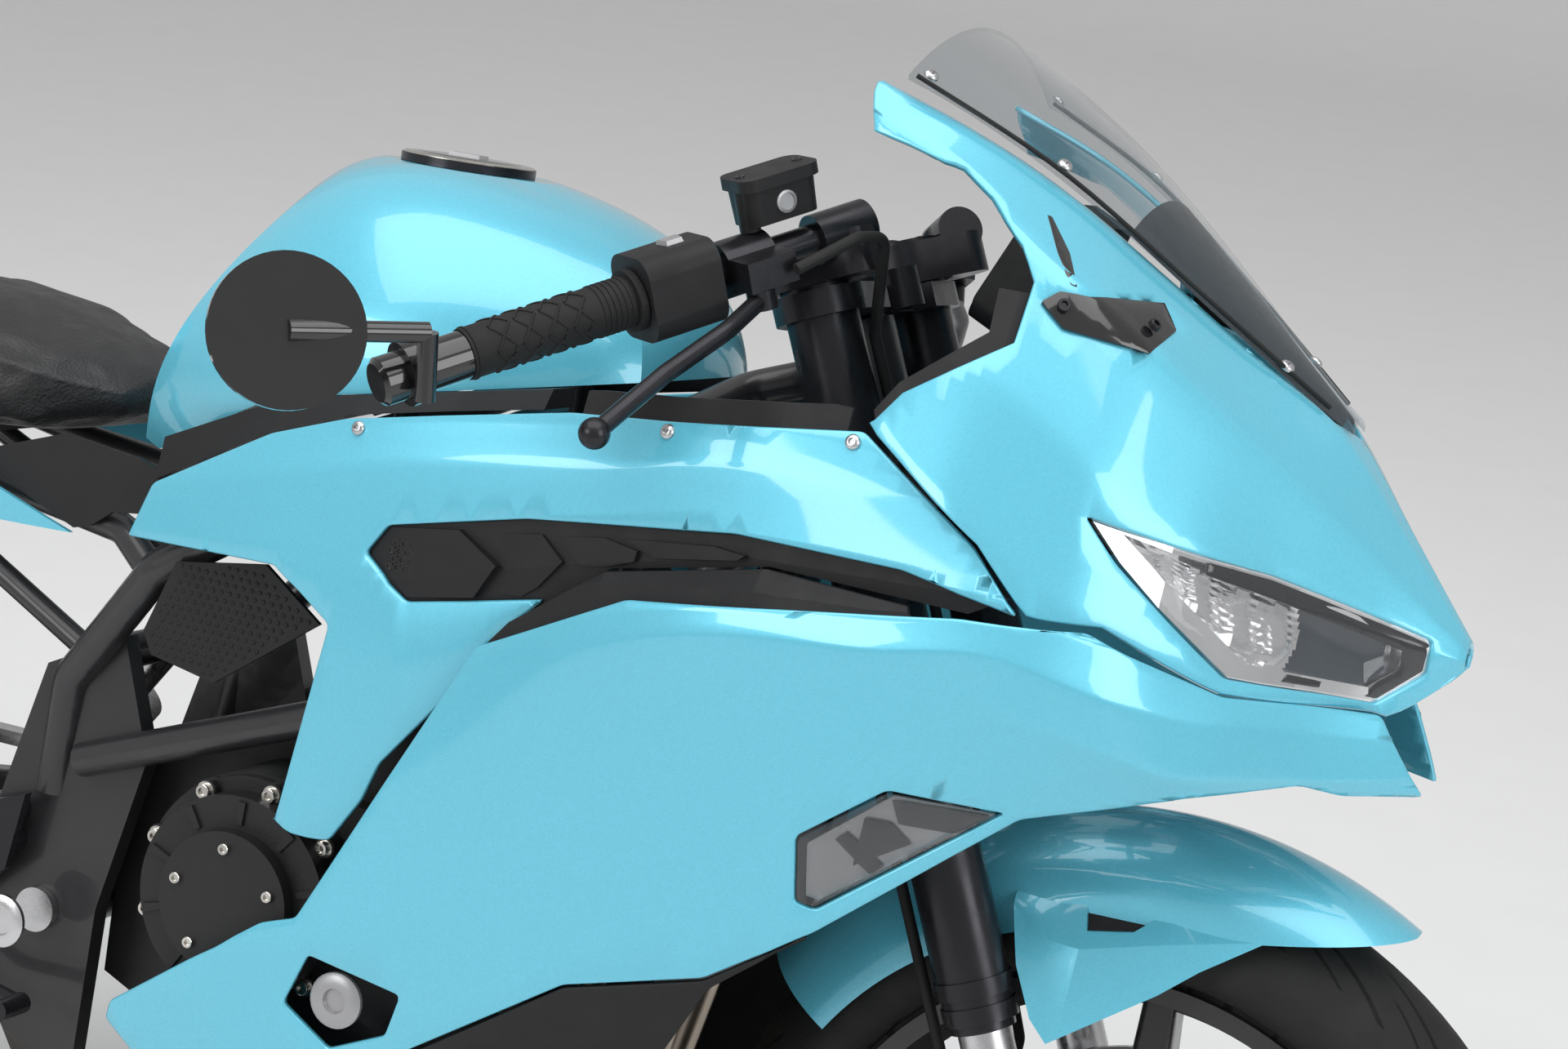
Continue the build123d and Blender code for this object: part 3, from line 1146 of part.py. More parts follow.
REAR_INDICATOR = (-880, 770)
INDICATOR_STEM_START = 22.3
INDICATOR_STEM_END = 62
INDICATOR_BODY = (52, 26)
INDICATOR_BODY_LENGTH = 34
with BuildPart() as rear_indicator:
    with BuildSketch(Plane.XZ.offset(INDICATOR_STEM_START)):
        with Locations(REAR_INDICATOR):
            Circle(7)
    extrude(amount=INDICATOR_STEM_END - INDICATOR_STEM_START)
    with BuildSketch(Plane.XZ.offset(INDICATOR_STEM_END)):
        with Locations(REAR_INDICATOR):
            RectangleRounded(*INDICATOR_BODY, 10)
    extrude(amount=INDICATOR_BODY_LENGTH, taper=8)

with BuildPart() as rear_indicators:
    add(mirrored_pair(rear_indicator.part))

# ---------------------------------------------------------------- fairing
NOSE_STATIONS = (
    # x, then half width and height of ridge edge, shoulder, side and foot; ridge height
    (430, (155, 1088), (166, 1070), (172, 1040), (178, 1000), 1098),
    (500, (143, 1063), (176, 1040), (215, 930), (235, 860), 1075),
    (560, (122, 1034), (185, 1000), (222, 915), (252, 815), 1045),
    (620, (94, 994), (172, 965), (214, 880), (243, 775), 1007),
    (680, (64, 952), (140, 920), (182, 840), (205, 755), 965),
    (740, (32, 912), (95, 872), (118, 815), (140, 741), 918),
    (800, (14, 842), (45, 822), (58, 790), (52, 733), 846),
    (848, (6, 786), (14, 782), (17, 777), (10, 768), 787),
)
NOSE_WALL = 4
NOSE_OUTLINE = ((425, 1094), (439, 1055), (504, 1042), (527, 1027), (554, 1001), (567, 980), (566, 942),
                (505, 900),
                (488, 876), (576, 820), (613, 782), (655, 782), (722, 747), (800, 738), (815, 731),
                (860, 760),
                (860, 800), (770, 930), (640, 1030), (500, 1110), (425, 1110))
SCREEN_OPENING = ((420, 150), (503, 136), (563, 115), (623, 86), (683, 56), (736, 28), (752, 0))


def nose_section(ridge_edge, shoulder, side, foot, ridge, inset):
    """Half-section points from the ridge down the left side, moved in by the inset."""
    return (
        (0, ridge - inset), (ridge_edge[0] - inset / 2, ridge_edge[1] - inset),
        (shoulder[0] - inset, shoulder[1] - inset / 2),
        (side[0] - inset, side[1]), (foot[0] - inset, foot[1]),
    )


def nose_shell(outer_inset, inner_inset):
    """Shell that follows the nose between two insets from its outer face."""
    with BuildPart() as shell:
        for x, ridge_edge, shoulder, side, foot, ridge in NOSE_STATIONS:
            outer = nose_section(ridge_edge, shoulder, side, foot, ridge, outer_inset)
            inner = nose_section(ridge_edge, shoulder, side, foot, ridge, inner_inset)
            with BuildSketch(Plane.YZ.offset(x)):
                with BuildLine():
                    Polyline(*[(-y, z) for y, z in reversed(outer)], *outer[1:], *reversed(inner),
                             *[(-y, z) for y, z in inner[1:]], close=True)
                make_face()
        loft(ruled=True)
    return shell.part


nose_skin = nose_shell(0, NOSE_WALL)
nose_lining = nose_shell(NOSE_WALL + SEAM, 2 * NOSE_WALL + SEAM)

HEADLIGHT_OUTLINE = ((632, 847), (733, 822), (826, 789), (826, 766), (800, 744), (767, 750), (722, 757),
                     (654, 821))
HEADLIGHT_LENS = ((635, 845), (733, 821), (825, 788), (825, 767), (800, 745.5), (767, 751.5), (723, 758.5),
                  (656, 821))
HEADLIGHT_POCKET = ((652, 838), (733, 816), (808, 788), (812, 768), (796, 754), (768, 759), (729, 766),
                    (670, 822))
HEADLIGHT_INNER = 26
HOUSING_INNER = 16
HOUSING_DEPTH = 20
HOUSING_FLOOR = 4
# blanking plate over the mirror mount, high on each side of the cowl
MIRROR_BLANK = ((577, 969), (586, 975), (632, 976), (644, 962), (640, 949), (593, 956))
MIRROR_PLUG = ((578, 968.6), (586.3, 974.3), (631.7, 975.3), (643.2, 961.8), (639.6, 949.8), (593.4, 956.8))
MIRROR_PLUG_INSET = 1
with BuildPart() as nose_cowl:
    add(nose_skin)
    with BuildSketch(Plane.XZ.offset(-SIDE_REACH)):
        with BuildLine():
            Polyline(*NOSE_OUTLINE, close=True)
        make_face()
    extrude(amount=2 * SIDE_REACH, mode=Mode.INTERSECT)
    with BuildSketch(Plane.XY.offset(880)):
        with BuildLine():
            Polyline(*SCREEN_OPENING, *[(x, -y) for x, y in reversed(SCREEN_OPENING[:-1])], close=True)
        make_face()
    extrude(amount=300, mode=Mode.SUBTRACT)
    for side in (-1, 1):
        for opening in (HEADLIGHT_OUTLINE, MIRROR_BLANK):
            with BuildSketch(Plane(origin=(0, side * HEADLIGHT_INNER, 0), x_dir=(1, 0, 0), z_dir=(0, -1, 0))):
                with BuildLine():
                    Polyline(*opening, close=True)
                make_face()
            extrude(amount=-side * SIDE_REACH, mode=Mode.SUBTRACT)


def nose_inlay(shell, outline):
    """Right-hand piece of a nose shell inside a side-view outline, clear of the middle."""
    with BuildPart() as inlay:
        with BuildSketch(Plane.XZ.offset(HEADLIGHT_INNER)):
            with BuildLine():
                Polyline(*outline, close=True)
            make_face()
        extrude(amount=SIDE_REACH)
        add(shell, mode=Mode.INTERSECT)
    return inlay.part


headlight_lens = nose_inlay(nose_skin, HEADLIGHT_LENS)
with BuildPart() as headlight_lenses:
    add(mirrored_pair(headlight_lens))

with BuildPart() as nose_core:
    # everything inside the cowl's wall
    for x, ridge_edge, shoulder, side, foot, ridge in NOSE_STATIONS:
        outer = nose_section(ridge_edge, shoulder, side, foot, ridge, NOSE_WALL + SEAM)
        with BuildSketch(Plane.YZ.offset(x)):
            with BuildLine():
                Polyline(*[(-y, z) for y, z in reversed(outer)], *outer[1:], close=True)
            make_face()
    loft(ruled=True)

with BuildPart() as headlight_pocket:
    with BuildSketch(Plane.XZ.offset(HEADLIGHT_INNER)):
        with BuildLine():
            Polyline(*HEADLIGHT_POCKET, close=True)
        make_face()
    extrude(amount=SIDE_REACH)
    add(nose_core.part.translate((0, HOUSING_DEPTH, 0)), mode=Mode.SUBTRACT)

with BuildPart() as headlight_housing:
    # open bowl behind the lens
    with BuildSketch(Plane.XZ.offset(HOUSING_INNER)):
        with BuildLine():
            Polyline(*HEADLIGHT_OUTLINE, close=True)
        make_face()
    extrude(amount=SIDE_REACH)
    add(nose_core.part, mode=Mode.INTERSECT)
    add(nose_core.part.translate((0, HOUSING_DEPTH + HOUSING_FLOOR, 0)), mode=Mode.SUBTRACT)
    add(headlight_pocket.part, mode=Mode.SUBTRACT)

with BuildPart() as headlight_housings:
    add(mirrored_pair(headlight_housing.part))

mirror_plug = nose_inlay(nose_shell(MIRROR_PLUG_INSET, MIRROR_PLUG_INSET + NOSE_WALL), MIRROR_PLUG)
# columns: x, half width of the screen base, base height, crown height
SCREEN_STATIONS = ((452, 158, 1093.2, 1135), (548, 128, 1049.2, 1083), (650, 80, 981.2, 1002),
                   (748, 22, 912.2, 919))
SCREEN_WALL = 3
with BuildPart() as windscreen:
    for x, half, base, crown in SCREEN_STATIONS:
        with BuildSketch(Plane.YZ.offset(x)):
            with BuildLine():
                ThreePointArc((-half, base), (0, crown), (half, base))
                Line((half, base), (half - 1, base - SCREEN_WALL))
                ThreePointArc((half - 1, base - SCREEN_WALL), (0, crown - SCREEN_WALL),
                              (-half + 1, base - SCREEN_WALL))
                Line((-half + 1, base - SCREEN_WALL), (-half, base))
            make_face()
    loft()

# columns: x, then (half width, height) of the lip, top edge, upper crease, lower crease, belly and foot
LOWER_SKIN = (
    (-100, (164, 500), (172, 480), (177, 440), (178, 370), (160, 260), (120, 155)),
    (60, (190, 580), (198, 560), (204, 490), (203, 420), (176, 280), (120, 152)),
    (220, (214, 716), (222, 700), (224, 600), (217, 490), (188, 310), (118, 150)),
    (330, (232, 758), (246, 744), (247, 700), (233, 590), (202, 380), (126, 165)),
    (440, (243, 782), (260, 762), (264, 735), (244, 640), (215, 480), (165, 300)),
    (520, (248, 782), (260, 768), (265, 744), (254, 690), (230, 590), (196, 470)),
    (600, (244, 792), (254, 780), (261, 757), (253, 722), (234, 670), (212, 620)),
    (660, (218, 784), (226, 772), (234, 742), (229, 710), (212, 682), (194, 650)),
    (715, (156, 770), (168, 757), (180, 731), (181, 694), (168, 676), (150, 655)),
    (775, (78, 762), (90, 750), (100, 726), (102, 694), (96, 686), (84, 676)),
    (842, (24, 752), (28, 740), (31, 722), (31, 700), (28, 690), (22, 678)),
)
lower_skin = creased_skin(LOWER_SKIN, 0, PANEL_WALL)
lower_lining = creased_skin(LOWER_SKIN, PANEL_WALL + SEAM, PANEL_WALL)
LOWER_PANEL = ((240, 679), (353, 738), (459, 756), (576, 775), (649, 779), (724, 746), (807, 739),
               (839, 686), (793, 683),
               (771, 690), (716, 680), (624, 652), (505, 549), (434, 499), (335, 467), (217, 383), (180, 222),
               (40, 236), (-12, 316), (-36, 334), (-32, 349), (97, 447), (125, 458))
INDICATOR_OUTLINE = ((488, 612), (544, 656), (616, 655), (505, 565), (491, 567))
INDICATOR_LENS = ((488.6, 611.6), (544.2, 655.4), (614.4, 654.4), (504.8, 565.7), (491.5, 567.6))
HEX_PORT = ((138, 434), (212, 424), (202, 391), (157, 368), (119, 392))
lower_panel = trimmed_skin(lower_skin, LOWER_PANEL, (INDICATOR_OUTLINE, HEX_PORT))
with BuildPart() as lower_side_panels:
    add(mirrored_pair(lower_panel))

BELLY_OUTLINE = ((503, 547), (434, 497), (335, 465), (219, 381), (183, 219), (38, 233), (-14, 313),
                 (-44, 262), (-60, 156),
                 (288, 156), (330, 220), (372, 330), (400, 420), (438, 492))
belly_side = trimmed_skin(lower_skin, BELLY_OUTLINE)
with BuildPart() as belly_pan:
    add(mirrored_pair(belly_side))

indicator_lens = trimmed_skin(lower_skin, INDICATOR_LENS)
with BuildPart() as indicator_lenses:
    add(mirrored_pair(indicator_lens))

# dark strip above the panel, tucked behind its top edge
TRIM_STRIP = ((242, 668), (246, 681), (263, 701), (330, 750), (442, 776), (489, 775), (540, 774), (548, 762),
              (513, 756), (459, 744), (353, 726))
trim_strip = trimmed_skin(lower_lining, TRIM_STRIP)
# columns: x, then (half width, height) of the top edge, shoulder crease, waist crease and foot
UPPER_SKIN = (
    (-90, (158, 750), (166, 716), (166, 680), (160, 600)),
    (40, (184, 800), (194, 756), (195, 690), (188, 540)),
    (160, (201, 836), (211, 790), (212, 706), (200, 490)),
    (300, (209, 862), (224, 815), (227, 748), (214, 620)),
    (430, (226, 885), (238, 838), (241, 780), (236, 700)),
    (622, (223, 880), (238, 830), (247, 790), (246, 720)),
)
upper_skin = creased_skin(UPPER_SKIN, 0, PANEL_WALL)
vent_skin = creased_skin(UPPER_SKIN, PANEL_WALL + SEAM, PANEL_WALL)
scale_skin = creased_skin(UPPER_SKIN, PANEL_WALL + SEAM, 2 * PANEL_WALL)
UPPER_PANEL = ((-75, 685), (-57, 728), (43, 784), (104, 806), (180, 823), (278, 844), (354, 853), (486, 872),
               (572, 817),
               (608, 781), (530, 794), (416, 793), (262, 770), (155, 743), (140, 721), (178, 695),
               (283, 720), (252, 687),
               (213, 631), (171, 579), (160, 550), (137, 515), (87, 505), (117, 665), (66, 696))
upper_panel = trimmed_skin(upper_skin, UPPER_PANEL)
with BuildPart() as upper_side_panels:
    add(mirrored_pair(upper_panel))

VENT_PANEL = ((150, 752), (262, 778), (416, 801), (530, 802), (600, 790), (576, 776), (442, 777),
              (330, 751.5),
              (263, 703), (246, 690), (178, 690), (134, 721))
# louvre scales that stand further out toward the front; columns: rear x, outline
SCALE_TILT = 4
SCALES = (
    (141, ((143, 724), (158, 742), (212, 752), (246, 735), (231, 710), (177, 698))),
    (240, ((241, 715), (257, 738), (239, 755), (275, 762), (294, 748), (277, 727), (265, 718))),
    (284, ((306, 748), (286, 763), (322, 770), (348, 767), (347, 760), (326, 752))),
    (332, ((334, 772), (403, 782), (426, 781), (421, 777), (361, 765))),
)
vent_panel = trimmed_skin(vent_skin, VENT_PANEL)
with BuildPart() as side_vent:
    add(vent_panel)
    for rear_x, outline in SCALES:
        hinge = Axis((rear_x, -UPPER_SKIN[3][3][0], 0), (0, 0, 1))
        add(trimmed_skin(scale_skin.rotate(hinge, -SCALE_TILT), outline))

with BuildPart() as side_vents:
    add(mirrored_pair(side_vent.part))
    add(mirrored_pair(trim_strip))

COCKPIT_PANEL = ((484, 880), (500, 905), (548, 945), (546, 972), (575, 972), (586, 940), (540, 890),
                 (520, 862))
COCKPIT_STRIP = ((285, 836), (354, 846), (474, 864), (474, 886), (354, 868), (285, 860))
cockpit_panel = trimmed_skin(nose_lining, COCKPIT_PANEL)
cockpit_strip = trimmed_skin(upper_skin.translate((0, PANEL_WALL + SEAM, 0)), COCKPIT_STRIP)
with BuildPart() as cockpit_panels:
    add(mirrored_pair(mirror_plug))
    add(mirrored_pair(cockpit_panel))
    add(mirrored_pair(cockpit_strip))

STAY_RADIUS = 6
SPINE_RADIUS = 8
SPINE_HEIGHT = 900
COWL_STAY = STEERING.from_local_coords((143, 0, SPINE_HEIGHT))
INSTRUMENT_STAY = (-30, 0, -INSTRUMENT_DEPTH)
# columns: x, z, where the stay starts (distance from the middle), panel it carries
PANEL_STAYS = (
    (COWL_STAY.X, COWL_STAY.Z, 0, nose_cowl.part), (126.5, 745, 160.6, upper_panel),
    (252, 661, 159.4, lower_panel),
    (100, 262, CASE_REAR_HALF + SEAM, lower_panel), (240, 342, CASE_REAR_HALF + SEAM, belly_side),
    (-598, 802, 82, tail_panel),
)
# from the head tube to the cowl's cross stay, then up to the instrument's back
SPINE = (
    STEERING.from_local_coords((HEAD_TUBE_RADIUS + SEAM, 0, SPINE_HEIGHT)),
    COWL_STAY,
    INSTRUMENT_PLANE.from_local_coords((INSTRUMENT_STAY[0], 0, INSTRUMENT_STAY[2] - 40)),
    INSTRUMENT_PLANE.from_local_coords((INSTRUMENT_STAY[0], 0, INSTRUMENT_STAY[2] - SEAM)),
)
with BuildPart() as fairing_stays:
    for x, z, start, panel in PANEL_STAYS:
        with BuildSketch(Plane.XZ.offset(start)):
            with Locations((x, z)):
                Circle(STAY_RADIUS)
        extrude(amount=stay_length(panel, x, z, STAY_RADIUS) - start)
    mirror(about=Plane.XZ)
    for start, end in zip(SPINE, SPINE[1:]):
        with BuildSketch(Plane(origin=start, z_dir=end - start)):
            Circle(SPINE_RADIUS)
        extrude(amount=(end - start).length)

SIDE_COVER = ((-160, 742), (-102, 736), (-96, 736), (-58, 724), (-78, 697), (-112, 692), (-130, 678),
              (-144, 674),
              (-210, 698), (-262, 718), (-221, 720))
side_cover = side_plate(SIDE_COVER, 132, 4)
HEEL_PLATE_INNER = 161.2
HEEL_PLATE = ((-34, 674), (39, 687), (88, 654), (9, 594), (-45, 603), (-54, 619))
heel_plate = side_plate(HEEL_PLATE, HEEL_PLATE_INNER, PANEL_WALL)
with BuildPart() as side_covers:
    add(mirrored_pair(side_cover))
    add(mirrored_pair(heel_plate))
    add(mirrored_pair(tank_strip.part))

# ---------------------------------------------------------------- side stand
STAND_NECK = 24
STAND_LEG_RADIUS = 10
STAND_FOOT_SIZE = (64, 44)
with BuildPart() as side_stand:
    leg = STAND_FOOT - STAND_PIVOT
    along = leg.normalized()
    with BuildSketch(STAND_HINGE.offset(-STAND_BARREL_HALF)):
        Circle(STAND_BARREL_RADIUS)
    extrude(amount=2 * STAND_BARREL_HALF)
    with BuildSketch(Plane(origin=STAND_PIVOT + along * 6, x_dir=STAND_AXIS, z_dir=along)):
        Rectangle(2 * STAND_BARREL_HALF, 20)
    extrude(amount=STAND_NECK)
    with BuildSketch(Plane(origin=STAND_PIVOT + along * STAND_NECK, z_dir=along)):
        Circle(STAND_LEG_RADIUS)
    extrude(amount=leg.length - STAND_NECK)
    with BuildSketch(STAND_HINGE.offset(-STAND_BARREL_HALF)):
        Circle(STAND_PIN_RADIUS + RUNNING_FIT)
    extrude(amount=2 * STAND_BARREL_HALF, mode=Mode.SUBTRACT)
    # foot plate, flat on the floor once the machine leans
    floor = Plane(origin=STAND_FOOT, x_dir=(1, 0, 0), z_dir=(0, math.sin(LEAN_TURN), -math.cos(LEAN_TURN)))
    with BuildSketch(floor):
        RectangleRounded(STAND_FOOT_SIZE[0], STAND_FOOT_SIZE[1], 10)
    extrude(amount=STAND_FOOT_WALL)
    with BuildSketch(floor.offset(STAND_FOOT_WALL)):
        Rectangle(200, 200)
    extrude(amount=40, mode=Mode.SUBTRACT)

# ---------------------------------------------------------------- export, resting on the side stand
NODES = {
    "front_rim": rims["front"], "front_tyre": tyres["front"], "front_discs": front_discs.part,
    "rear_rim": rims["rear"], "rear_tyre": tyres["rear"], "rear_disc": rear_disc.part,
    "rear_sprocket": rear_sprocket.part, "chain": chain.part,
    "fork_outer_tubes": fork_outer_tubes.part, "fork_legs": fork_legs.part, "front_axle": front_axle.part,
    "triple_clamps": triple_clamps.part, "clip_ons": clip_ons.part, "grips": grips.part,
    "bar_mirrors": bar_mirrors.part, "switch_housings": switch_housings.part, "levers": levers.part,
    "lever_perches": lever_perches.part, "master_cylinder": master_cylinder.part,
    "brake_hoses": brake_hoses.part, "instrument": instrument.part, "front_fender": front_fender.part,
    "front_calipers": front_calipers.part, "frame": frame.part, "swingarm": swingarm.part,
    "rear_shafts": rear_shafts.part, "rear_caliper": rear_caliper.part, "shock": shock.part,
    "engine": engine.part, "engine_covers": engine_covers.part, "exhaust_headers": exhaust_headers.part,
    "muffler": muffler.part, "radiator": radiator.part, "footrests": footrests.part,
    "fuel_tank": fuel_tank.part, "fuel_cap": fuel_cap.part, "rider_seat": rider_seat.part,
    "seat_hump": seat_hump.part, "tail_panels": tail_panels.part, "tail_light": tail_light.part,
    "rear_fender": rear_fender.part, "rear_indicators": rear_indicators.part, "nose_cowl": nose_cowl.part,
    "headlight_lenses": headlight_lenses.part, "headlight_housings": headlight_housings.part,
    "windscreen": windscreen.part, "lower_side_panels": lower_side_panels.part, "belly_pan": belly_pan.part,
    "indicator_lenses": indicator_lenses.part, "upper_side_panels": upper_side_panels.part,
    "side_vents": side_vents.part, "cockpit_panels": cockpit_panels.part, "side_covers": side_covers.part,
    "fairing_stays": fairing_stays.part, "side_stand": side_stand.part,
}
# lean onto the stand, lift the rounded tyres back onto the floor, then centre the footprint
leaned = {name: node.rotate(Axis.X, -LEAN) for name, node in NODES.items()}
boxes = [node.bounding_box() for node in leaned.values()]
centre_x = (min(box.min.X for box in boxes) + max(box.max.X for box in boxes)) / 2
centre_y = (min(box.min.Y for box in boxes) + max(box.max.Y for box in boxes)) / 2
STANCE = Vector(-centre_x, -centre_y, LEAN_LIFT)
print("moved by", STANCE, "lowest", min(box.min.Z for box in boxes) + LEAN_LIFT)

os.makedirs("parts", exist_ok=True)
for name, node in leaned.items():
    resting = node.translate(STANCE)
    resting.label = name
    export_step(resting, f"parts/{name}.step")
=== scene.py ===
"""Looks, camera and light for the sport motorcycle that leans on its side stand."""
import bpy
import bmesh
import json
import math
from mathutils import Matrix, Vector
from mathutils.geometry import delaunay_2d_cdt


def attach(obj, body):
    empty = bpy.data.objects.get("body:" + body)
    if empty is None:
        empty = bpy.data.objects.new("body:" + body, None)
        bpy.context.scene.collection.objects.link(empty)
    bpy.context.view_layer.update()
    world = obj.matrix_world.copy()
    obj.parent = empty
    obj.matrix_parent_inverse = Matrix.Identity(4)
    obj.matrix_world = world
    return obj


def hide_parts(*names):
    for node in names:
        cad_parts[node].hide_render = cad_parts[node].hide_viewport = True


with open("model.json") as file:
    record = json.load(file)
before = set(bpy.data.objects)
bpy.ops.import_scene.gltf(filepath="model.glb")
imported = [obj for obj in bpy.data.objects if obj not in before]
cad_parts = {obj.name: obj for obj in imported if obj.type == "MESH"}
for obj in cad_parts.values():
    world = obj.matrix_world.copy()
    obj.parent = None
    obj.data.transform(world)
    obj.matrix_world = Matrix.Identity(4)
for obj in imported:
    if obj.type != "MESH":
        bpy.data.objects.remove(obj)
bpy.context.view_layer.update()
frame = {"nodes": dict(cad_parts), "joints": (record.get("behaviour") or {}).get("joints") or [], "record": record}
nodes = frame["nodes"]
hinges = {joint["name"]: Vector(joint["pos_m"]) for joint in frame["joints"]}
scene = bpy.context.scene

# ---------------------------------------------------------------- the machine's own upright frame
LEAN = math.radians(11)
# metres, before the machine leans
FRONT_AXLE = Vector((0.69, 0, 0.3))
lean = Matrix.Rotation(-LEAN, 4, "X")
UPRIGHT = Matrix.Translation(hinges["front_wheel_spin"] - lean @ FRONT_AXLE) @ lean


def at(x, y, z):
    """A point given in upright millimetres, in the row frame."""
    return UPRIGHT @ (Vector((x, y, z)) / 1000)


# ---------------------------------------------------------------- camera, solved from the photograph
YAW, PITCH, ROLL = math.radians(20.63), math.radians(8.39), math.radians(9.16)
CAMERA_SPOT = Vector((1.072, -1.898, 1.067))
SENSOR_WIDTH, FOCAL_LENGTH = 36, 65.76

ahead = Vector((-math.sin(YAW) * math.cos(PITCH), math.cos(YAW) * math.cos(PITCH), -math.sin(PITCH)))
level = Vector((math.cos(YAW), math.sin(YAW), 0))
above = level.cross(ahead)
right = math.cos(ROLL) * level + math.sin(ROLL) * above
up = -math.sin(ROLL) * level + math.cos(ROLL) * above
pose = Matrix((right, up, -ahead)).transposed().to_4x4()
pose.translation = CAMERA_SPOT
camera_data = bpy.data.cameras.new("camera")
camera_data.sensor_fit = "HORIZONTAL"
camera_data.sensor_width = SENSOR_WIDTH
camera_data.lens = FOCAL_LENGTH
camera = bpy.data.objects.new("camera", camera_data)
scene.collection.objects.link(camera)
camera.matrix_world = UPRIGHT @ pose
scene.camera = camera

# ---------------------------------------------------------------- materials
COAT_ROUGHNESS = 0.04
SURFACE_IOR = 1.45
RAMP_STOPS = (0.3, 0.7)
SMEAR_FINENESS = 5
GRAIN_DEPTH = 0.0006
GRAINS = {"noise": ("ShaderNodeTexNoise", "Fac"), "cells": ("ShaderNodeTexVoronoi", "Distance")}


def texture(tree, kind, scale, coords, **inputs):
    """A texture node of the given kind, fed by the coordinates socket."""
    node = tree.nodes.new(kind)
    for name, value in {"Scale": scale, **inputs}.items():
        node.inputs[name].default_value = value
    tree.links.new(coords, node.inputs["Vector"])
    return node


def ramp(tree, source, dark, light):
    """Maps the middle of a 0 to 1 value onto the range between two colours."""
    node = tree.nodes.new("ShaderNodeValToRGB")
    for stop, position, color in zip(node.color_ramp.elements, RAMP_STOPS, (dark, light)):
        stop.position = position
        stop.color = (*color, 1)
    tree.links.new(source, node.inputs["Fac"])
    return node.outputs["Color"]


def bumped(tree, shader, height, strength, distance):
    """Feeds a height into the shader's normal."""
    bump = tree.nodes.new("ShaderNodeBump")
    bump.inputs["Strength"].default_value = strength
    bump.inputs["Distance"].default_value = distance
    tree.links.new(height, bump.inputs["Height"])
    tree.links.new(bump.outputs["Normal"], shader.inputs["Normal"])


def material(name, color, rough=0.4, metal=0.0, coat=0.0, vary=0.12, vary_scale=9, rough_vary=0.08,
             grain=0.0, grain_scale=700, grain_kind="noise", alpha=1.0, specular=0.5, stretch=None):
    """Principled material with mottled colour, uneven roughness and a fine surface grain."""
    mat = bpy.data.materials.new(name)
    mat.use_nodes = True
    tree = mat.node_tree
    shader = tree.nodes["Principled BSDF"]
    coords = tree.nodes.new("ShaderNodeTexCoord").outputs["Object"]
    if stretch:
        mapping = tree.nodes.new("ShaderNodeMapping")
        mapping.inputs["Scale"].default_value = stretch
        tree.links.new(coords, mapping.inputs["Vector"])
        coords = mapping.outputs["Vector"]
    mottle = texture(tree, "ShaderNodeTexNoise", vary_scale, coords, Detail=6)
    dark = [c * (1 - vary) for c in color]
    light = [min(1, c * (1 + vary)) for c in color]
    tree.links.new(ramp(tree, mottle.outputs["Fac"], dark, light), shader.inputs["Base Color"])
    smear = texture(tree, "ShaderNodeTexNoise", vary_scale * SMEAR_FINENESS, coords, Detail=4)
    smooth, worn = max(0.02, rough - rough_vary), min(1, rough + rough_vary)
    tree.links.new(ramp(tree, smear.outputs["Fac"], [smooth] * 3, [worn] * 3), shader.inputs["Roughness"])
    plain = {"Metallic": metal, "Coat Weight": coat, "Coat Roughness": COAT_ROUGHNESS,
             "Specular IOR Level": specular, "IOR": SURFACE_IOR, "Alpha": alpha}
    for socket, value in plain.items():
        shader.inputs[socket].default_value = value
    if grain:
        kind, output = GRAINS[grain_kind]
        pattern = texture(tree, kind, grain_scale, coords)
        bumped(tree, shader, pattern.outputs[output], grain, GRAIN_DEPTH)
    return mat


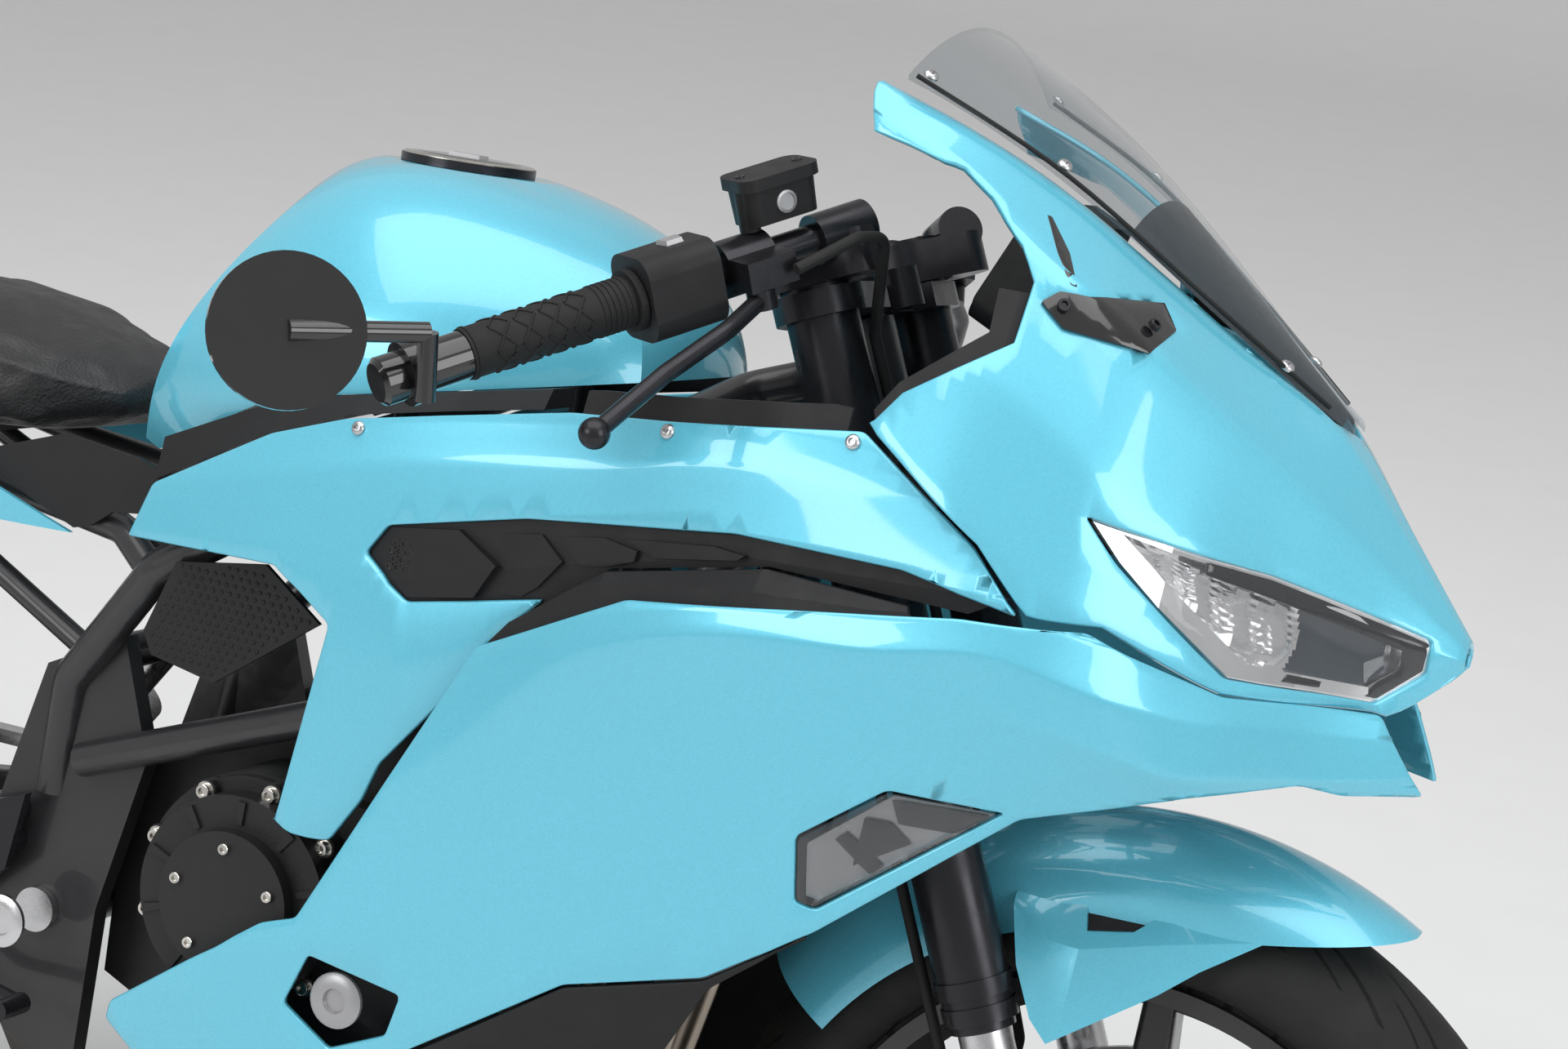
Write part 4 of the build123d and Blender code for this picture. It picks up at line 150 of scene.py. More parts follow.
MATERIALS = {
    "paint": material("turquoise_paint", (0.115, 0.52, 0.68), rough=0.3, metal=0.25, coat=1.0, vary=0.04,
                      vary_scale=400, rough_vary=0.05, grain=0.03, grain_scale=2600, grain_kind="cells"),
    "black_plastic": material("black_plastic", (0.012, 0.012, 0.013), rough=0.5, grain=0.25,
                              grain_scale=1500, specular=0.32),
    "black_gloss": material("black_gloss", (0.012, 0.012, 0.013), rough=0.14, coat=0.6, rough_vary=0.05),
    "frame_paint": material("frame_paint", (0.02, 0.02, 0.022), rough=0.38, coat=0.3, grain=0.12,
                            grain_scale=300),
    "engine_black": material("engine_black", (0.016, 0.016, 0.017), rough=0.45, grain=0.3, grain_scale=450,
                             specular=0.35),
    "rim_paint": material("rim_paint", (0.018, 0.018, 0.02), rough=0.3, coat=0.5, grain=0.06),
    "black_anodised": material("black_anodised", (0.03, 0.03, 0.034), rough=0.3, metal=0.7, grain=0.05),
    "steel": material("ground_steel", (0.56, 0.56, 0.57), rough=0.28, metal=1.0, vary=0.1, grain=0.1,
                      stretch=(1, 12, 1)),
    "exhaust_steel": material("exhaust_steel", (0.42, 0.36, 0.3), rough=0.3, metal=1.0, vary=0.25,
                              vary_scale=5),
    "tyre": material("tyre_rubber", (0.012, 0.012, 0.012), rough=0.75, grain=0.4, grain_scale=500,
                     specular=0.3),
    "rubber": material("grip_rubber", (0.014, 0.014, 0.014), rough=0.65, grain=0.3, grain_scale=900,
                       specular=0.3),
    "seat_vinyl": material("seat_vinyl", (0.02, 0.02, 0.021), rough=0.5, grain=0.8, grain_scale=420,
                           grain_kind="cells"),
    "lamp_clear": material("clear_lens", (0.12, 0.13, 0.14), rough=0.03, rough_vary=0.01, alpha=0.16,
                           vary=0.03, coat=1.0, specular=1.0),
    "screen_tint": material("smoked_screen", (0.05, 0.08, 0.10), rough=0.03, rough_vary=0.01, alpha=0.24,
                            vary=0.03, coat=1.0, specular=1.0),
    "chrome": material("bright_chrome", (0.95, 0.95, 0.96), rough=0.12, metal=0.9, vary=0.02,
                       rough_vary=0.02, grain=0.02),
    "projector": material("projector_lens", (0.03, 0.045, 0.06), rough=0.06, coat=1.0, rough_vary=0.03,
                          vary=0.3),
    "satin_silver": material("satin_silver", (0.36, 0.36, 0.37), rough=0.35, metal=0.6, grain=0.05),
    "zinc": material("zinc_plate", (0.6, 0.58, 0.54), rough=0.22, metal=1.0, vary=0.12, vary_scale=60,
                     grain=0.05),
    "lamp_red": material("red_lens", (0.4, 0.01, 0.012), rough=0.12, coat=1.0, vary=0.15, grain=0.2,
                         grain_scale=180, grain_kind="cells"),
}
SLOT_LOOK = {"body_paint": "paint", "tank_paint": "paint"}
NODE_LOOK = {"bar_mirrors": "black_gloss", "headlight_housings": "chrome"}


def wear(node, mat):
    """Gives a CAD node's mesh one material."""
    mesh = nodes[node].data
    mesh.materials.clear()
    mesh.materials.append(mat)


for part in frame["record"]["subparts"]:
    slot_look = SLOT_LOOK.get(part["material_slot"], part["material_slot"])
    wear(part["node"], MATERIALS[NODE_LOOK.get(part["node"], slot_look)])


# ---------------------------------------------------------------- pieces from lists of (verts, faces)
WELD = 0.00002


def shape_piece(name, verts, faces, look, body, sharp=None):
    """Makes a smooth piece from upright millimetre points and rides it on a body.

    Edges that turn by more than the angle sharp, in degrees, stay crisp.
    """
    mesh = bpy.data.meshes.new(name)
    mesh.from_pydata([at(*v) for v in verts], [], faces)
    mesh.validate()
    obj = bpy.data.objects.new(name, mesh)
    scene.collection.objects.link(obj)
    bm = bmesh.new()
    bm.from_mesh(mesh)
    bmesh.ops.remove_doubles(bm, verts=bm.verts, dist=WELD)
    bmesh.ops.recalc_face_normals(bm, faces=bm.faces)
    bm.to_mesh(mesh)
    bm.free()
    mesh.shade_smooth()
    if sharp:
        mesh.set_sharp_from_angle(angle=math.radians(sharp))
    mesh.materials.append(MATERIALS[look])
    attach(obj, body)
    return obj


def both_hands(parts):
    """A list of (verts, faces) with its mirror image across the middle."""
    other = [([(v[0], -v[1], v[2]) for v in verts], [tuple(reversed(face)) for face in faces])
             for verts, faces in parts]
    return parts + other


def joined(name, parts, look, body, sharp=35):
    """Makes one piece from a list of (verts, faces)."""
    verts, faces = [], []
    for part_verts, part_faces in parts:
        start = len(verts)
        verts += part_verts
        faces += [tuple(start + i for i in face) for face in part_faces]
    return shape_piece(name, verts, faces, look, body, sharp)


def axes_round(normal, hint=(0, 0, 1)):
    """Two unit vectors square to a direction, and the direction itself."""
    n = Vector(normal).normalized()
    hint = Vector(hint)
    if abs(n.dot(hint)) > 0.95:
        hint = Vector((1, 0, 0))
    u = hint.cross(n).normalized()
    return u, n.cross(u), n


def circle(center, u, v, radius, count):
    """Points round a centre in the plane of u and v."""
    turns = [2 * math.pi * i / count for i in range(count)]
    return [Vector(center) + u * radius * math.cos(a) + v * radius * math.sin(a) for a in turns]


def through_rings(rings):
    """A closed form through rings of equally many points."""
    count = len(rings[0])
    faces = []
    for k in range(len(rings) - 1):
        for i in range(count):
            j = (i + 1) % count
            faces.append((k * count + i, k * count + j, (k + 1) * count + j, (k + 1) * count + i))
    faces.append(tuple(range(count - 1, -1, -1)))
    faces.append(tuple((len(rings) - 1) * count + i for i in range(count)))
    return [point for ring in rings for point in ring], faces


def lathed(spot, normal, profile, count=20):
    """A turned form of (radius, height) points."""
    u, v, n = axes_round(normal)
    return through_rings([[point + n * height for point in circle(spot, u, v, radius, count)]
                          for radius, height in profile])


def tube(route, radius, count=12):
    """A round tube along a route, its ends closed."""
    rings = []
    for i, point in enumerate(route):
        before, after = Vector(route[max(0, i - 1)]), Vector(route[min(len(route) - 1, i + 1)])
        u, v, _ = axes_round(after - before, (0.13, 0.2, 0.97))
        rings.append(circle(point, u, v, radius, count))
    return through_rings(rings)


def prism(outline, place_low, place_high):
    """A closed plate between two placements of one flat outline."""
    count = len(outline)
    verts = [place_low(p) for p in outline] + [place_high(p) for p in outline]
    faces = [tuple(range(count - 1, -1, -1)), tuple(range(count, 2 * count))]
    faces += [(i, (i + 1) % count, count + (i + 1) % count, count + i) for i in range(count)]
    return verts, faces


def grid(rows):
    """An open sheet through rows of equally many points, its faces row by row."""
    width = len(rows[0])
    faces = [(k * width + j, k * width + j + 1, (k + 1) * width + j + 1, (k + 1) * width + j)
             for k in range(len(rows) - 1) for j in range(width - 1)]
    return [point for row in rows for point in row], faces


# ---------------------------------------------------------------- folded skins
def station_curve(rows):
    """Smooth interpolation along x of rows (x, (half width, height), ...)."""
    xs = [row[0] for row in rows]
    columns = [[value for fold in row[1:] for value in fold] for row in rows]
    slopes = []
    for i in range(len(rows)):
        before, after = max(0, i - 1), min(len(rows) - 1, i + 1)
        rates = []
        for k in range(len(columns[0])):
            if before == i or after == i:
                rates.append((columns[after][k] - columns[before][k]) / (xs[after] - xs[before]))
                continue
            left = (columns[i][k] - columns[before][k]) / (xs[i] - xs[before])
            right = (columns[after][k] - columns[i][k]) / (xs[after] - xs[i])
            rates.append(0 if left * right <= 0 else 2 * left * right / (left + right))
        slopes.append(rates)

    def section(x):
        x = min(max(x, xs[0]), xs[-1])
        i = max(k for k in range(len(xs) - 1) if xs[k] <= x)
        span = xs[i + 1] - xs[i]
        t = (x - xs[i]) / span
        h00, h10 = 2 * t**3 - 3 * t**2 + 1, t**3 - 2 * t**2 + t
        h01, h11 = -2 * t**3 + 3 * t**2, t**3 - t**2
        flat = [h00 * a + h10 * span * ma + h01 * b + h11 * span * mb
                for a, b, ma, mb in zip(columns[i], columns[i + 1], slopes[i], slopes[i + 1])]
        return [(flat[k], flat[k + 1]) for k in range(0, len(flat), 2)]

    return section


# skins are meshed flat over (x, fold coordinate times DOMAIN_SCALE), both near to millimetres
FOLD_ROUND = 0.07
DOMAIN_SCALE = 60.0
EDGE_STEP = 7
SAME_POINT = 0.8
EDGE_CLEARANCE = 3
GRID_STEP = 9.0
LEVEL_SHIFTS = (-0.08, 0.0, 0.08, 0.28, 0.5, 0.72)
ON_MIDDLE = 0.3
LIP_ROUND = 0.3
FOLD_REACH = 0.05


def skin_point(folds, t, inset=0.0):
    """Point (half width, height) at fold coordinate t, with the folds slightly rounded."""
    total = [0.0, 0.0]
    for shift, weight in ((-FOLD_ROUND, 0.25), (0.0, 0.5), (FOLD_ROUND, 0.25)):
        u = min(max(t + shift, 0.0), len(folds) - 1.0) if 0 <= t <= len(folds) - 1 else t
        k = min(max(int(math.floor(u)), 0), len(folds) - 2)
        f = u - k
        for axis in (0, 1):
            total[axis] += weight * (folds[k][axis] * (1 - f) + folds[k + 1][axis] * f)
    return total[0] - inset, total[1]


def skin_place(section, x, t, inset=0.0):
    """Point on the right-hand side of a skin."""
    width, height = skin_point(section(x), t, inset)
    return Vector((x, -width, height))


def skin_normal(section, x, t, reach, top=math.inf, inset=0.0):
    """Outward direction on the right-hand side of a skin, measured over reach each way along x."""
    along = skin_place(section, x + reach, t, inset) - skin_place(section, x - reach, t, inset)
    low, high = max(0.0, t - FOLD_REACH), min(top, t + FOLD_REACH)
    across = skin_place(section, x, high, inset) - skin_place(section, x, low, inset)
    normal = along.cross(across).normalized()
    return -normal if normal.y > 0 else normal


def skin_spot(section, x, height, lift=0.0):
    """Point lifted off the right-hand side of a skin, and the outward direction there."""
    t = fold_of_height(section(x), height)
    normal = skin_normal(section, x, t, 2)
    return skin_place(section, x, t) + normal * lift, normal


def fold_of_height(folds, height):
    """Fold coordinate at which a section reaches a height."""
    for k in range(len(folds) - 1):
        if folds[k + 1][1] <= height <= folds[k][1]:
            return k + (folds[k][1] - height) / max(1e-6, folds[k][1] - folds[k + 1][1])
    return 0.0 if height > folds[0][1] else len(folds) - 1.0


def fold_of_width(folds, width):
    """Fold coordinate at which a section's upper part reaches a half width."""
    for k in range(len(folds) - 1):
        if folds[k][0] <= width <= folds[k + 1][0]:
            return k + (width - folds[k][0]) / max(1e-6, folds[k + 1][0] - folds[k][0])
    return len(folds) - 1.0


def inside(x, y, loop):
    """Whether a point lies inside a polygon."""
    hit = False
    for (x0, y0), (x1, y1) in zip(loop, loop[1:] + loop[:1]):
        if (y0 > y) != (y1 > y) and x < (x1 - x0) * (y - y0) / (y1 - y0) + x0:
            hit = not hit
    return hit


def divided(outline, step):
    """A closed outline with its long edges divided."""
    points = []
    for (x0, y0), (x1, y1) in zip(outline, outline[1:] + outline[:1]):
        count = max(1, int(math.hypot(x1 - x0, y1 - y0) / step))
        points += [(x0 + (x1 - x0) * i / count, y0 + (y1 - y0) * i / count) for i in range(count)]
    return points


def rounded(outline, radius):
    """A closed outline with its corners cut by short arcs."""
    points = []
    for (x, y), before, after in zip(outline, outline[-1:] + outline[:-1], outline[1:] + outline[:1]):
        a = Vector((before[0] - x, before[1] - y))
        b = Vector((after[0] - x, after[1] - y))
        reach = min(radius, a.length * 0.45, b.length * 0.45)
        start, end = a.normalized() * reach, b.normalized() * reach
        for f in (0.0, 0.25, 0.5, 0.75, 1.0):
            q = start * (1 - f) ** 2 + end * f**2
            points.append((x + q.x, y + q.y))
    return points


def to_domain(section, point):
    """A side-view point (x, height) or a plan-view point (x, half width, 0) as (x, scaled fold)."""
    fold_of = fold_of_width if len(point) == 3 else fold_of_height
    return point[0], fold_of(section(point[0]), point[1]) * DOMAIN_SCALE


def mixed_loop(section, loop):
    """A closed loop of side-view and plan-view points, divided in the domain."""
    dense = []
    for p, q in zip(loop, loop[1:] + loop[:1]):
        (x0, t0), (x1, t1) = to_domain(section, p), to_domain(section, q)
        count = max(1, int(math.hypot(x1 - x0, t1 - t0) / EDGE_STEP))
        for i in range(count):
            f = i / count
            if len(p) == len(q):
                between = (p[0] + (q[0] - p[0]) * f, p[1] + (q[1] - p[1]) * f, 0)
                dense.append(to_domain(section, between[:len(p)]))
            else:
                dense.append((x0 + (x1 - x0) * f, t0 + (t1 - t0) * f))
    return dense


def clean_loop(loop, clockwise):
    """A loop without doubled points, wound as asked."""
    kept = []
    for point in loop:
        if not kept or math.dist(point, kept[-1]) > SAME_POINT:
            kept.append(point)
    if math.dist(kept[0], kept[-1]) < SAME_POINT:
        kept.pop()
    area = sum(x0 * y1 - x1 * y0 for (x0, y0), (x1, y1) in zip(kept, kept[1:] + kept[:1]))
    if (area < 0) != clockwise:
        kept.reverse()
    return kept


def skin_loops(section, outline, holes, radius):
    """The outline, then each hole, as loops in the domain."""
    loops = []
    for loop in [outline, *holes]:
        if any(len(point) == 3 for point in loop):
            dense = mixed_loop(section, loop)
        else:
            dense = [to_domain(section, point) for point in divided(rounded(loop, radius), EDGE_STEP)]
        loops.append(clean_loop(dense, clockwise=bool(loops)))
    return loops


def within(spot, loops):
    """Whether a point of the domain lies in the outline and in no hole."""
    return inside(*spot, loops[0]) and not any(inside(*spot, hole) for hole in loops[1:])


def grid_spots(loops, folds):
    """Points within the loops in columns along x, closer together beside a fold."""
    levels = sorted({round(k + d, 4) for k in range(folds) for d in LEVEL_SHIFTS if 0 <= k + d <= folds - 1})
    boundary = [Vector(point) for loop in loops for point in loop]
    xs = [point[0] for point in loops[0]]
    spots = []
    column = min(xs) + GRID_STEP / 2
    while column < max(xs):
        for spot in [(column, level * DOMAIN_SCALE) for level in levels]:
            if not within(spot, loops):
                continue
            if min((Vector(spot) - b).length_squared for b in boundary) >= EDGE_CLEARANCE**2:
                spots.append(spot)
        column += GRID_STEP
    return spots


def filled(loops, spots):
    """Flat points and triangles through loops and spots, and each loop as a ring of point numbers."""
    points, edges, rings = [], [], []
    for loop in loops:
        ids = list(range(len(points), len(points) + len(loop)))
        points += loop
        rings.append(ids)
        edges += zip(ids, ids[1:] + ids[:1])
    found = delaunay_2d_cdt([Vector(p) for p in points + spots], edges, [], 0, 1e-5, True)
    flat, triangles, origins = found[0], found[2], found[3]
    triangles = [t for t in triangles if within(sum((flat[i] for i in t), Vector((0, 0))) / 3, loops)]
    where = {old: new for new, olds in enumerate(origins) for old in olds}
    return flat, triangles, [[where[i] for i in ids] for ids in rings]


def add_lip(verts, faces, ring, outer, normals, lip, on_middle):
    """Closes a shell's wall along one ring by a rounded lip, and leaves it open on the middle."""
    sides, chains = {}, {}
    for vert, before, after in zip(ring, ring[-1:] + ring[:-1], ring[1:] + ring[:1]):
        tangent = (outer[after] - outer[before]).normalized()
        sides[vert] = tangent.cross(normals[vert]).normalized()
    for vert in ring:
        if vert in on_middle:
            chains[vert] = [vert, len(outer) + vert]
            continue
        point, out, down = outer[vert], sides[vert] * lip, normals[vert] * lip
        chains[vert] = [vert, len(verts), len(verts) + 1, len(outer) + vert]
        verts[vert] = point + out
        verts += [point + out * LIP_ROUND - down * LIP_ROUND, point - down]
    for a, b in zip(ring, ring[1:] + ring[:1]):
        if a in on_middle and b in on_middle:
            continue
        if len(chains[a]) == len(chains[b]):
            faces += zip(chains[a], chains[b], chains[b][1:], chains[a][1:])
        else:
            faces.append(tuple(chains[a] + chains[b][::-1]))


def skin_shell(name, section, outline, holes, look, body, wall=4.0, inset=0.0, lip=1.4, radius=4.0,
               middle=False, sharp=None):
    """Both hands of a thin shell on a folded skin, cut to side-view outlines with rounded lips.

    With middle set, the shell runs across the machine's middle as one piece.
    """
    folds = len(section(outline[0][0]))
    reach = 1.5

    def facing(x, t):
        if middle and t < 1e-6:
            along = skin_place(section, x + reach, t, inset) - skin_place(section, x - reach, t, inset)
            return Vector((-along.z, 0, along.x)).normalized()
        return skin_normal(section, x, t, reach, folds - 1.0, inset)

    loops = skin_loops(section, outline, holes, radius)
    flat, triangles, rings = filled(loops, grid_spots(loops, folds))
    outer = [skin_place(section, p.x, p.y / DOMAIN_SCALE, inset) for p in flat]
    normals = [facing(p.x, p.y / DOMAIN_SCALE) for p in flat]
    verts = outer + [p - n * wall for p, n in zip(outer, normals)]
    faces = [tuple(t) for t in triangles] + [tuple(len(outer) + i for i in reversed(t)) for t in triangles]
    for ring in rings:
        on_middle = {v for v in ring if middle and flat[v].y < ON_MIDDLE}
        add_lip(verts, faces, ring, outer, normals, lip, on_middle)
    return joined(name, both_hands([(verts, faces)]), look, body, sharp)


def skin_patch(name, section, outline, look, lift, wall, radius=1.0):
    """Thin plate that follows a skin at a height above it, both hands."""
    return skin_shell(name, section, outline, [], look, "chassis", wall=wall, inset=-lift,
                      lip=min(0.6, wall / 2), radius=radius, sharp=35)


# the same station tables as the solids: x, then (half width, height) of each fold
LOWER_ROWS = (
    (-100, (164, 500), (172, 480), (177, 440), (178, 370), (160, 260), (120, 155)),
    (60, (190, 580), (198, 560), (204, 490), (203, 420), (176, 280), (120, 152)),
    (220, (214, 716), (222, 700), (224, 600), (217, 490), (188, 310), (118, 150)),
    (330, (232, 758), (246, 744), (247, 700), (233, 590), (202, 380), (126, 165)),
    (440, (243, 782), (260, 762), (264, 735), (244, 640), (215, 480), (165, 300)),
    (520, (248, 782), (260, 768), (265, 744), (254, 690), (230, 590), (196, 470)),
    (600, (244, 792), (254, 780), (261, 757), (253, 722), (234, 670), (212, 620)),
    (660, (218, 784), (226, 772), (234, 742), (229, 710), (212, 682), (194, 650)),
    (715, (156, 770), (168, 757), (180, 731), (181, 694), (168, 676), (150, 655)),
    (775, (78, 762), (90, 750), (100, 726), (102, 694), (96, 686), (84, 676)),
    (842, (24, 752), (28, 740), (31, 722), (31, 700), (28, 690), (22, 678)),
)
UPPER_ROWS = (
    (-90, (158, 750), (166, 716), (166, 680), (160, 600)),
    (40, (184, 800), (194, 756), (195, 690), (188, 540)),
    (160, (201, 836), (211, 790), (212, 706), (200, 490)),
    (300, (209, 862), (224, 815), (227, 748), (214, 620)),
    (430, (226, 885), (238, 838), (241, 780), (236, 700)),
    (622, (223, 880), (238, 830), (247, 790), (246, 720)),
)
# x, then ridge, ridge edge, shoulder, side and foot
NOSE_ROWS = (
    (430, (0, 1098), (155, 1088), (166, 1070), (172, 1040), (178, 1000)),
    (500, (0, 1075), (143, 1063), (176, 1040), (215, 930), (235, 860)),
    (560, (0, 1045), (122, 1034), (185, 1000), (222, 915), (252, 815)),
    (620, (0, 1007), (94, 994), (172, 965), (214, 880), (243, 775)),
    (680, (0, 965), (64, 952), (140, 920), (182, 840), (205, 755)),
    (740, (0, 918), (32, 912), (95, 872), (118, 815), (140, 741)),
    (800, (0, 846), (14, 842), (45, 822), (58, 790), (52, 733)),
    (848, (0, 787), (6, 786), (14, 782), (17, 777), (10, 768)),
)
lower_section = station_curve(LOWER_ROWS)
upper_section = station_curve(UPPER_ROWS)
nose_section = station_curve(NOSE_ROWS)

# outlines in side view, (x, height); a third value marks (x, half width) in plan view
LOWER_OUTLINE = [(240, 679), (353, 738), (459, 756), (576, 775), (649, 779), (724, 746), (807, 739),
                 (839, 686), (793, 683), (771, 690), (716, 680), (624, 652), (505, 549), (434, 499),
                 (335, 467), (217, 383), (180, 222), (40, 236), (-12, 316), (-36, 334), (-32, 349),
                 (97, 447), (125, 458)]
INDICATOR_HOLE = [(488, 612), (544, 656), (616, 655), (505, 565), (491, 567)]
INDICATOR_GLASS = [(489.6, 611), (544.6, 654.2), (612, 653.4), (504.4, 567), (492.3, 568.6)]
PORT_HOLE = [(138, 434), (212, 424), (202, 391), (157, 368), (119, 392)]
BELLY_EDGE = [(503, 547), (434, 497), (335, 465), (219, 381), (183, 219), (38, 233), (-14, 313), (-44, 262),
              (-60, 156), (288, 156), (330, 220), (372, 330), (400, 420), (438, 492)]
UPPER_EDGE = [(-75, 685), (-57, 728), (43, 784), (104, 806), (180, 823), (278, 844), (354, 853), (486, 872),
              (572, 817), (608, 781), (530, 794), (416, 793), (262, 770), (155, 743), (140, 721),
              (178, 695), (283, 720), (252, 687), (213, 631), (171, 579), (160, 550), (137, 515), (87, 505),
              (117, 665), (66, 696)]
NOSE_EDGE = [(431, 1080), (439, 1055), (504, 1042), (527, 1027), (554, 1001), (567, 980), (566, 942),
             (505, 900), (488, 876), (576, 820), (613, 782), (655, 782), (722, 747), (800, 738), (815, 731),
             (847, 770), (847, 0, 0), (752, 0, 0), (736, 28, 0), (683, 56, 0), (623, 86, 0), (563, 115, 0),
             (503, 136, 0), (431, 148, 0)]
LAMP_HOLE = [(632, 847), (733, 822), (826, 789), (826, 766), (800, 744), (767, 750), (722, 757), (654, 821)]
LAMP_GLASS = [(635, 845), (733, 821), (825, 788), (825, 767), (800, 745.5), (767, 751.5), (723, 758.5),
              (656, 821)]
HEX_HOLE = [(577, 969), (586, 975), (632, 976), (644, 962), (640, 949), (593, 956)]
HEX_PLATE = [(575, 969), (584, 977), (632, 977.5), (645, 962), (641, 948), (592, 955)]
COWL_SLOT_SHADE = [(556, 1021), (559, 1020), (578, 1000), (592, 981), (588, 982), (572, 1000)]
POCKET = [(652, 838), (733, 816), (808, 788), (812, 768), (796, 754), (768, 759), (729, 766), (670, 822)]
BEZEL = [(700, 827), (733, 819), (824, 786.5), (823, 768), (800, 747), (786, 749), (810, 769), (810, 780),
         (733, 808), (700, 819)]
LOWER_BEZEL = [(750, 756), (800, 747), (790, 753), (752, 761)]
INDICATOR_BACK = [(494, 608), (546, 652), (608, 652), (505, 571), (496, 572)]
INDICATOR_BARS = ([(546, 650), (606, 651), (584, 634), (551, 634)],
                  [(530, 634), (547, 634), (560, 622), (525, 600)],
                  [(512, 616), (520, 622), (545, 603), (536, 596)])
DOME_FIELD = [(-30, 672), (36, 683), (80, 654), (8, 598), (-43, 606), (-50, 620)]

lower_shell = skin_shell("lower_panel_shells", lower_section, LOWER_OUTLINE, [INDICATOR_HOLE, PORT_HOLE],
                         "paint", "chassis")
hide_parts("lower_side_panels")
belly_shell = skin_shell("belly_pan_shells", lower_section, BELLY_EDGE, [], "black_plastic", "chassis")
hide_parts("belly_pan")
indicator_shell = skin_shell("front_indicator_lenses", lower_section, INDICATOR_GLASS, [], "lamp_clear",
                             "chassis", wall=2.5)
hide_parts("indicator_lenses")
upper_shell = skin_shell("upper_panel_shells", upper_section, UPPER_EDGE, [], "paint", "chassis")
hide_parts("upper_side_panels")
nose_piece = skin_shell("nose_cowl_shell", nose_section, NOSE_EDGE, [LAMP_HOLE, HEX_HOLE], "paint", "chassis",
                        middle=True, radius=3)
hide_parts("nose_cowl")
lamp_shell = skin_shell("headlight_lens_shells", nose_section, LAMP_GLASS, [], "lamp_clear", "chassis",
                        wall=2.5, radius=3)
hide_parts("headlight_lenses")

# ---------------------------------------------------------------- screen: screws, rubber edge and dark foot
BUTTON_HEAD = ((5.2, 0), (5.2, 0.8), (4.6, 2.1), (3.3, 3.0), (2.4, 3.1), (2.3, 1.4))
WASHER_BOLT = ((7.0, 0), (7.0, 1.2), (5.4, 1.3), (5.4, 5.4), (4.9, 5.9), (3.0, 5.9), (2.8, 3.6))
SMALL_CAP = ((4.2, 0), (4.2, 3.4), (3.8, 3.9), (2.3, 3.9), (2.2, 2.0))
# x, then (half width, height) of the foot and of the crown
SCREEN_ROWS = (
    (452, (158, 1093.2), (0, 1135)), (548, (128, 1049.2), (0, 1083)),
    (650, (80, 981.2), (0, 1002)), (748, (22, 912.2), (0, 919)),
)
SCREEN_RAKE = 0.55
screen_section = station_curve(SCREEN_ROWS)


def screen_spot(x, share, lift):
    """Point of the screen's arc at a share of its half width, and the outward direction there."""
    (half, base), (_, crown) = screen_section(x)
    rise = crown - base
    radius = (half * half + rise * rise) / (2 * rise)
    width = half * share
    height = crown - radius + math.sqrt(max(0, radius * radius - width * width))
    upward = math.sqrt(max(0, 1 - (width / radius) ** 2))
    normal = Vector((SCREEN_RAKE, -width / radius, upward)).normalized()
    return Vector((x, -width, height)) + normal * lift, normal


screws = [lathed(*screen_spot(x, 0.93, 0.3), BUTTON_HEAD) for x in (462, 552, 702)]
screws += [lathed(*skin_spot(upper_section, x, z, 0.2), BUTTON_HEAD)
           for x, z in ((354, 846), (481, 864), (118, 802))]
joined("panel_screws", both_hands(screws), "steel", "chassis")

MASK_SINK, MASK_SHARE = 4.5, 0.94
mask_rows = [[screen_spot(600 + i * 10.2, share / 10 * MASK_SHARE, -MASK_SINK)[0] for share in range(-10, 11)]
             for i in range(15)]
mask_piece = joined("screen_mask", [grid(mask_rows)], "black_plastic", "chassis")
thick = mask_piece.modifiers.new("wall", "SOLIDIFY")
thick.thickness = 0.0015

edge_route = [screen_spot(456 + i * 14.5, 0.985, 1.2)[0] for i in range(20)]
joined("screen_edge", [tube([(p.x, p.y * hand, p.z) for p in edge_route], 1.6, 8) for hand in (1, -1)],
       "rubber", "chassis")

# ---------------------------------------------------------------- plates over the mirror mounts, painted shade of the cowl slots
skin_patch("mirror_blanking_plates", nose_section, HEX_PLATE, "black_gloss", 3.2, 3.0)
# painted shade: thin black patches on the paint stand in for the slots' openings
skin_patch("cowl_slot_shades", nose_section, COWL_SLOT_SHADE, "black_gloss", 0.25, 0.5, radius=0.6)
plate_screws = [lathed(*skin_spot(nose_section, x, z, 3.3), SMALL_CAP) for x, z in ((587, 967), (634, 961))]
joined("plate_screws", both_hands(plate_screws), "black_anodised", "chassis")

# ---------------------------------------------------------------- headlights
# millimetres along the machine and down its skin
POCKET_FROM, POCKET_TO, POCKET_MARGIN = 654, 806, 0.8
LAMP_COLUMNS, LAMP_LEVELS = 96, 40
DARK_FROM, DARK_BOW = 752, 8
BLEND_WIDTH = 6
FACET_START, FACET_PITCH = 640, 21


def span_at(outline, x):
    """Lowest and highest point of a side-view outline at x."""
    heights = []
    for (x0, z0), (x1, z1) in zip(outline, outline[1:] + outline[:1]):
        if (x0 <= x <= x1 or x1 <= x <= x0) and x0 != x1:
            heights.append(z0 + (z1 - z0) * (x - x0) / (x1 - x0))
    return min(heights), max(heights)


def dark_edge(f):
    """Where the bright reflector ends and the dark lens begins, at a share f down the pocket."""
    return DARK_FROM + DARK_BOW * math.sin(f * 3)


